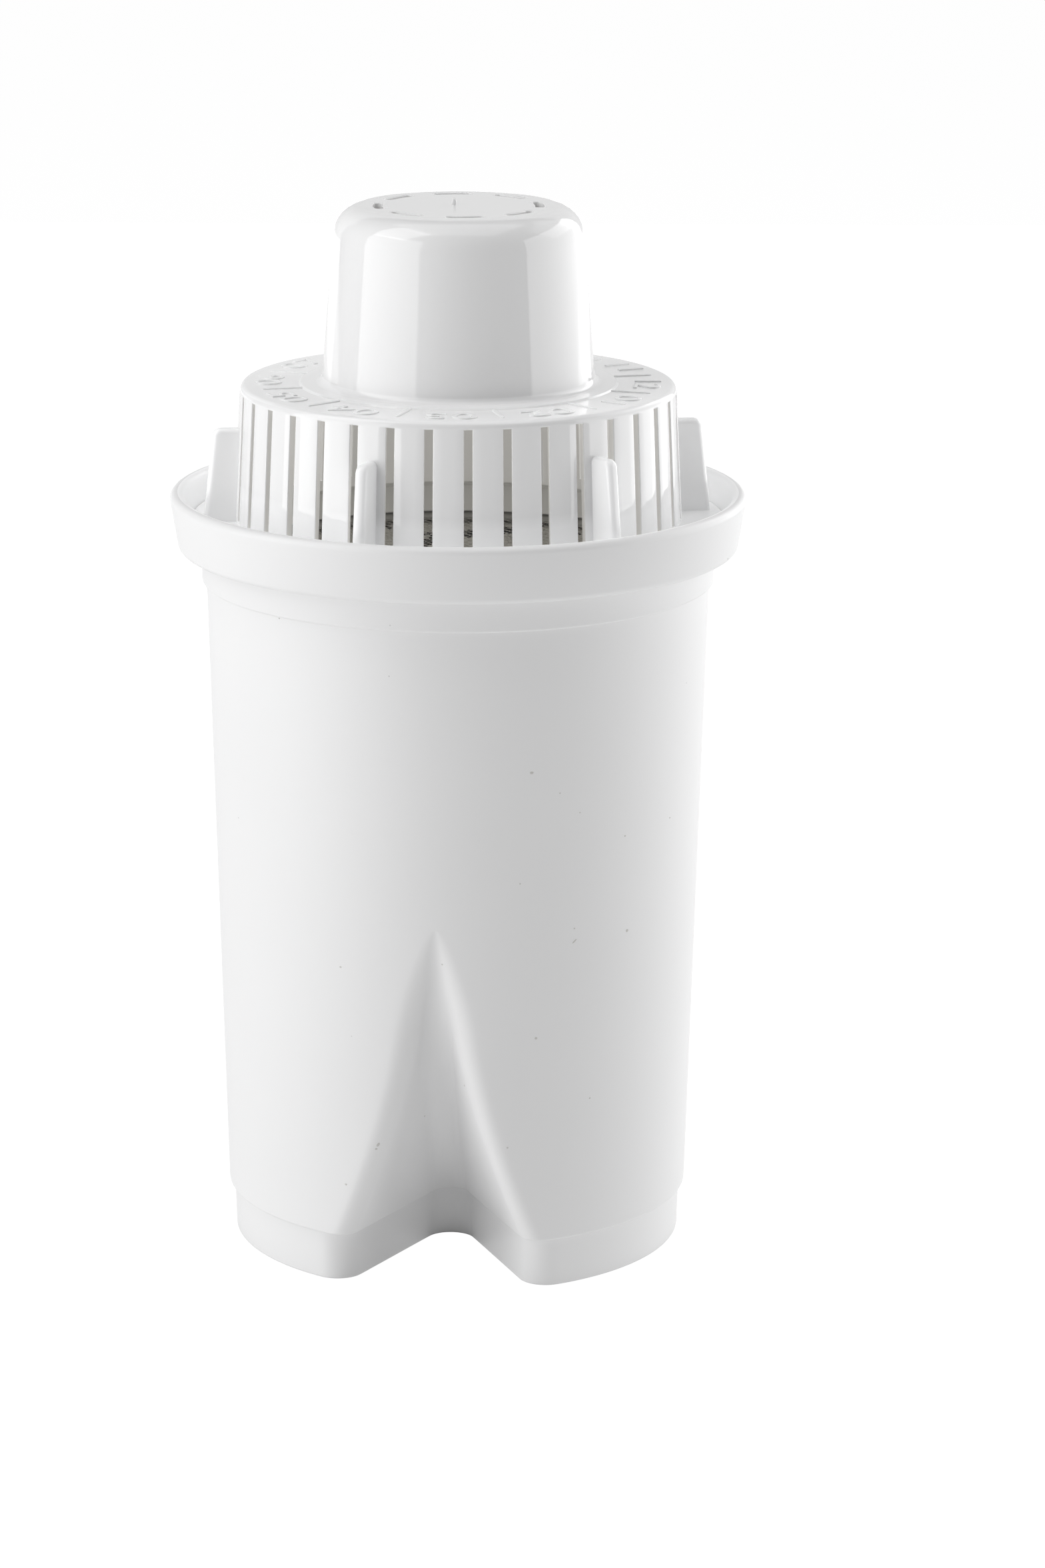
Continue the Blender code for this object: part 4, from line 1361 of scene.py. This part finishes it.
# %% Finishes of the filling
def carbon_finish():
    """Black grains with a scatter of lighter broken faces."""
    made = Finish("carbon_black", (0.02, 0.02, 0.02), 0.55)
    shade = made.mottle((0.008, 0.008, 0.008), (0.05, 0.05, 0.048), 0.5 * MM, 4.0)
    made.set("Roughness", 0.35 + 0.4 * shade)
    made.set("Specular IOR Level", 0.2)
    made.bump(shade, 0.04 * MM)
    return made.material


def bead_finish():
    """Pale beads whose shade changes from one to the next."""
    made = Finish("resin_pale", (0.55, 0.53, 0.49), 0.5)
    made.mottle((0.76, 0.74, 0.69), (0.42, 0.41, 0.38), 1.3 * MM)
    made.bump(made.noise(0.3 * MM), 0.01 * MM)
    return made.material


def bed_finish():
    """The packed grains below the top layer, black and pale in blotches."""
    made = Finish("packed_granules", (0.2, 0.2, 0.19), 0.7)
    cells = {"Vector": made.place(), "Scale": 1 / (0.9 * MM)}
    tone = made.node("ShaderNodeTexVoronoi", {}, cells, output="Color")
    share = made.node("ShaderNodeSeparateColor", {}, {0: tone})
    pale, black = (0.45, 0.43, 0.40, 1.0), (0.02, 0.02, 0.02, 1.0)
    made.set("Base Color", made.blend(share > 0.6, pale, black))
    made.bump(1 - made.node("ShaderNodeTexVoronoi", {}, cells), 0.3 * MM)
    return made.material


fillings = carbon_finish(), bead_finish(), bed_finish()
print("finishes:", ", ".join(made.name for made in fillings))

# %% [markdown]
# A carbon grain is ragged and keeps its creases. A bead is nearly round and is shaded smooth all
# over, so its few faces don't show.

# %% Build the filling
CARBON_SIZES = (0.42, 0.60)
BEAD_SIZES = (0.40, 0.55)


def layer(chosen, sizes, raggedness):
    """The chosen grains of the top layer, each of a random half size between two, in mm."""
    size = seed.uniform(*sizes, chosen.sum()) * MM
    return grains(grain_x[chosen], grain_y[chosen], size, raggedness)


bed = make_piece("packed_bed", *closed_skin(plan_rows(bed_rows())), fillings[2])
seat(bed, "granules", "granule_bed")
carbon, beads = layer(is_carbon, CARBON_SIZES, 0.35), layer(~is_carbon, BEAD_SIZES, 0.08)
seat(make_piece("carbon_grains", *carbon, fillings[0], math.radians(20)), "granules")
seat(make_piece("resin_beads", *beads, fillings[1], math.radians(80)), "granules")

# %% [markdown]
# The outlet screen is a felted pad that lies on the base. Its packed solid is right as it is, so it
# only gets a fibrous finish.


# %% Finish of the outlet screen
def fleece_finish():
    """Felted white fibres."""
    made = Finish("felted_fleece", (0.80, 0.80, 0.78), 0.85)
    fibres = made.mottle((0.84, 0.84, 0.82), (0.66, 0.66, 0.63), 0.35 * MM, 5.0)
    made.bump(fibres, 0.08 * MM)
    return made.material


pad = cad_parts["outlet_screen"]
pad.data.materials.clear()
pad.data.materials.append(fleece_finish())
print("outlet screen:", pad.data.materials[0].name)

# %% [markdown]
# ## Floor, light and camera
#
# The cartridge stands on a lit white table, the way small goods are photographed: the table is
# as bright as the backdrop, so there is hardly a shadow. The floor is what the camera sees of
# it, and a dimmer light under it gives what the table throws back, so the two can be set apart.
# A soft box on each side gives the upright bands that the dome mirrors, with the duller room in
# front between them. A pale backdrop is mirrored by the dome's top and the dial, which three more
# boxes light from above.

# %% Floor and surroundings
FLOOR_SIZE = 8.0
SHADED_FROM = 9.0 * MM
FOOT_RADIUS = body_radius(FOOT_HEIGHT)
BACKDROP_WHITE = (1.0, 1.0, 1.0, 1.0)


def stage_piece(name, points, faces, shade, roughness, glow):
    """A plain piece around the cartridge, which also shines by itself."""
    mesh = bpy.data.meshes.new(name)
    mesh.from_pydata(points, [], faces)
    made = Finish(name, (shade, shade, shade), roughness)
    made.set("Emission Color", BACKDROP_WHITE)
    made.set("Emission Strength", glow)
    mesh.materials.append(made.material)
    piece = bpy.data.objects.new(name, mesh)
    bpy.context.scene.collection.objects.link(piece)
    return piece


def white_floor(shade, glow):
    """A large plain floor under the cartridge, for the camera's eyes alone."""
    corners = np.array([(-1, -1, 0), (1, -1, 0), (1, 1, 0), (-1, 1, 0)])
    floor = stage_piece("floor", corners * FLOOR_SIZE / 2, [range(4)], shade, 0.7, glow)
    floor.visible_diffuse = floor.visible_glossy = floor.visible_shadow = False


def glowing_ring(name, near, far, glow):
    """A ring of the glowing table, just under the floor, which the camera doesn't see."""
    rims = np.array([[far, -MM], [near, -MM]])
    azimuths = evenly(96, 0.0)
    points = around(rims[:, :1], azimuths, rims[:, 1:]).reshape(-1, 3)
    ring = stage_piece(name, points, ring_faces(2, azimuths.size).tolist(), 0.0, 1.0, glow)
    ring.visible_camera = False


def surroundings(strength):
    """An even pale room."""
    world = bpy.data.worlds.new("pale_room")
    world.use_nodes = True
    background = world.node_tree.nodes["Background"]
    background.inputs["Color"].default_value = BACKDROP_WHITE
    background.inputs["Strength"].default_value = strength
    bpy.context.scene.world = world


white_floor(0.03, 0.985)
surroundings(0.02)
glowing_ring("table_glow", FOOT_RADIUS, FLOOR_SIZE / 4, 0.87)
glowing_ring("shaded_table", SHADED_FROM, FOOT_RADIUS, 0.55)
print("floor, room and glowing table")

# %% [markdown]
# Each soft box is placed as a photographer would say it: by its direction from the camera's side,
# how far it is raised, and how far away it stands from a point on the axis. Its brightness is what
# a mirror would show, so the power is that times pi times its area, and a box can be made larger
# without making its reflection brighter.

# %% Soft boxes
CAMERA_AZIMUTH = math.radians(5.2)
SOFT_BOXES = [
    # name, brightness, azimuth and rise in degrees, then distance, height, width and tall in metres
    ("left_box", 2.2, -64.5, 0, 0.55, 0.26, 0.62, 0.52),
    ("right_box", 2.1, 108, 0, 0.55, 0.26, 1.06, 0.52),
    ("left_top_box", 2.7, -75, 50, 0.75, 0.10, 0.45, 0.45),
    ("backdrop", 0.7, 180, 0, 0.90, 0.40, 1.80, 0.80),
    ("right_top_box", 0.8, 120, 35, 0.75, 0.10, 0.60, 0.45),
    ("top_box", 1.2, 0, 90, 0.70, 0.10, 0.70, 0.70),
]


def soft_light(name, brightness, width, tall, place):
    """A soft box that shines along its own -Z; its power is brightness times pi times its area."""
    data = bpy.data.lights.new(name, "AREA")
    data.shape = "RECTANGLE"
    data.size, data.size_y = width, tall
    data.energy = brightness * math.pi * width * tall
    light = bpy.data.objects.new(name, data)
    light.matrix_world = place
    light.visible_camera = False
    bpy.context.scene.collection.objects.link(light)


def studio_box(name, brightness, azimuth, raised, distance, height, width, tall):
    """A soft box at an azimuth from the camera's, raised by an angle over a point on the axis."""
    azimuth, raised = CAMERA_AZIMUTH + math.radians(azimuth), math.radians(raised)
    spot = around(distance * math.cos(raised), azimuth, height + distance * math.sin(raised))
    turn = Matrix.Rotation(azimuth, 4, "Z") @ Matrix.Rotation(math.pi / 2 - raised, 4, "X")
    soft_light(name, brightness, width, tall, Matrix.Translation(spot.tolist()) @ turn)


for box in SOFT_BOXES:
    studio_box(*box)
print("soft boxes:", ", ".join(box[0] for box in SOFT_BOXES))

# %% [markdown]
# The camera was worked out from the photograph: the ellipses of the rim and the foot give its
# height and tilt, and the spread of the slots gives its distance.

# %% Camera
CAMERA_DISTANCE = 679.0 * MM
CAMERA_HEIGHT = 235.9 * MM
CAMERA_TILT = math.radians(75.5)
CAMERA_SWING = math.radians(-0.72)
CAMERA_ROLL = math.radians(0.287)
IMAGE_HEIGHT = 2353
FOCAL_PIXELS = 7989.0
SENSOR = 36.0

lens = bpy.data.cameras.new("camera")
lens.sensor_width = SENSOR
lens.lens = FOCAL_PIXELS * SENSOR / IMAGE_HEIGHT
lens.clip_start = 0.01
camera = bpy.data.objects.new("camera", lens)
camera.matrix_world = (
    Matrix.Translation(around(CAMERA_DISTANCE, CAMERA_AZIMUTH, CAMERA_HEIGHT).tolist())
    @ Matrix.Rotation(CAMERA_AZIMUTH + CAMERA_SWING, 4, "Z")
    @ Matrix.Rotation(CAMERA_TILT, 4, "X")
    @ Matrix.Rotation(CAMERA_ROLL, 4, "Z")
)
bpy.context.scene.collection.objects.link(camera)
bpy.context.scene.camera = camera
bpy.context.scene.view_settings.view_transform = "Standard"
print(f"lens {lens.lens:.1f} mm")

# %% [markdown]
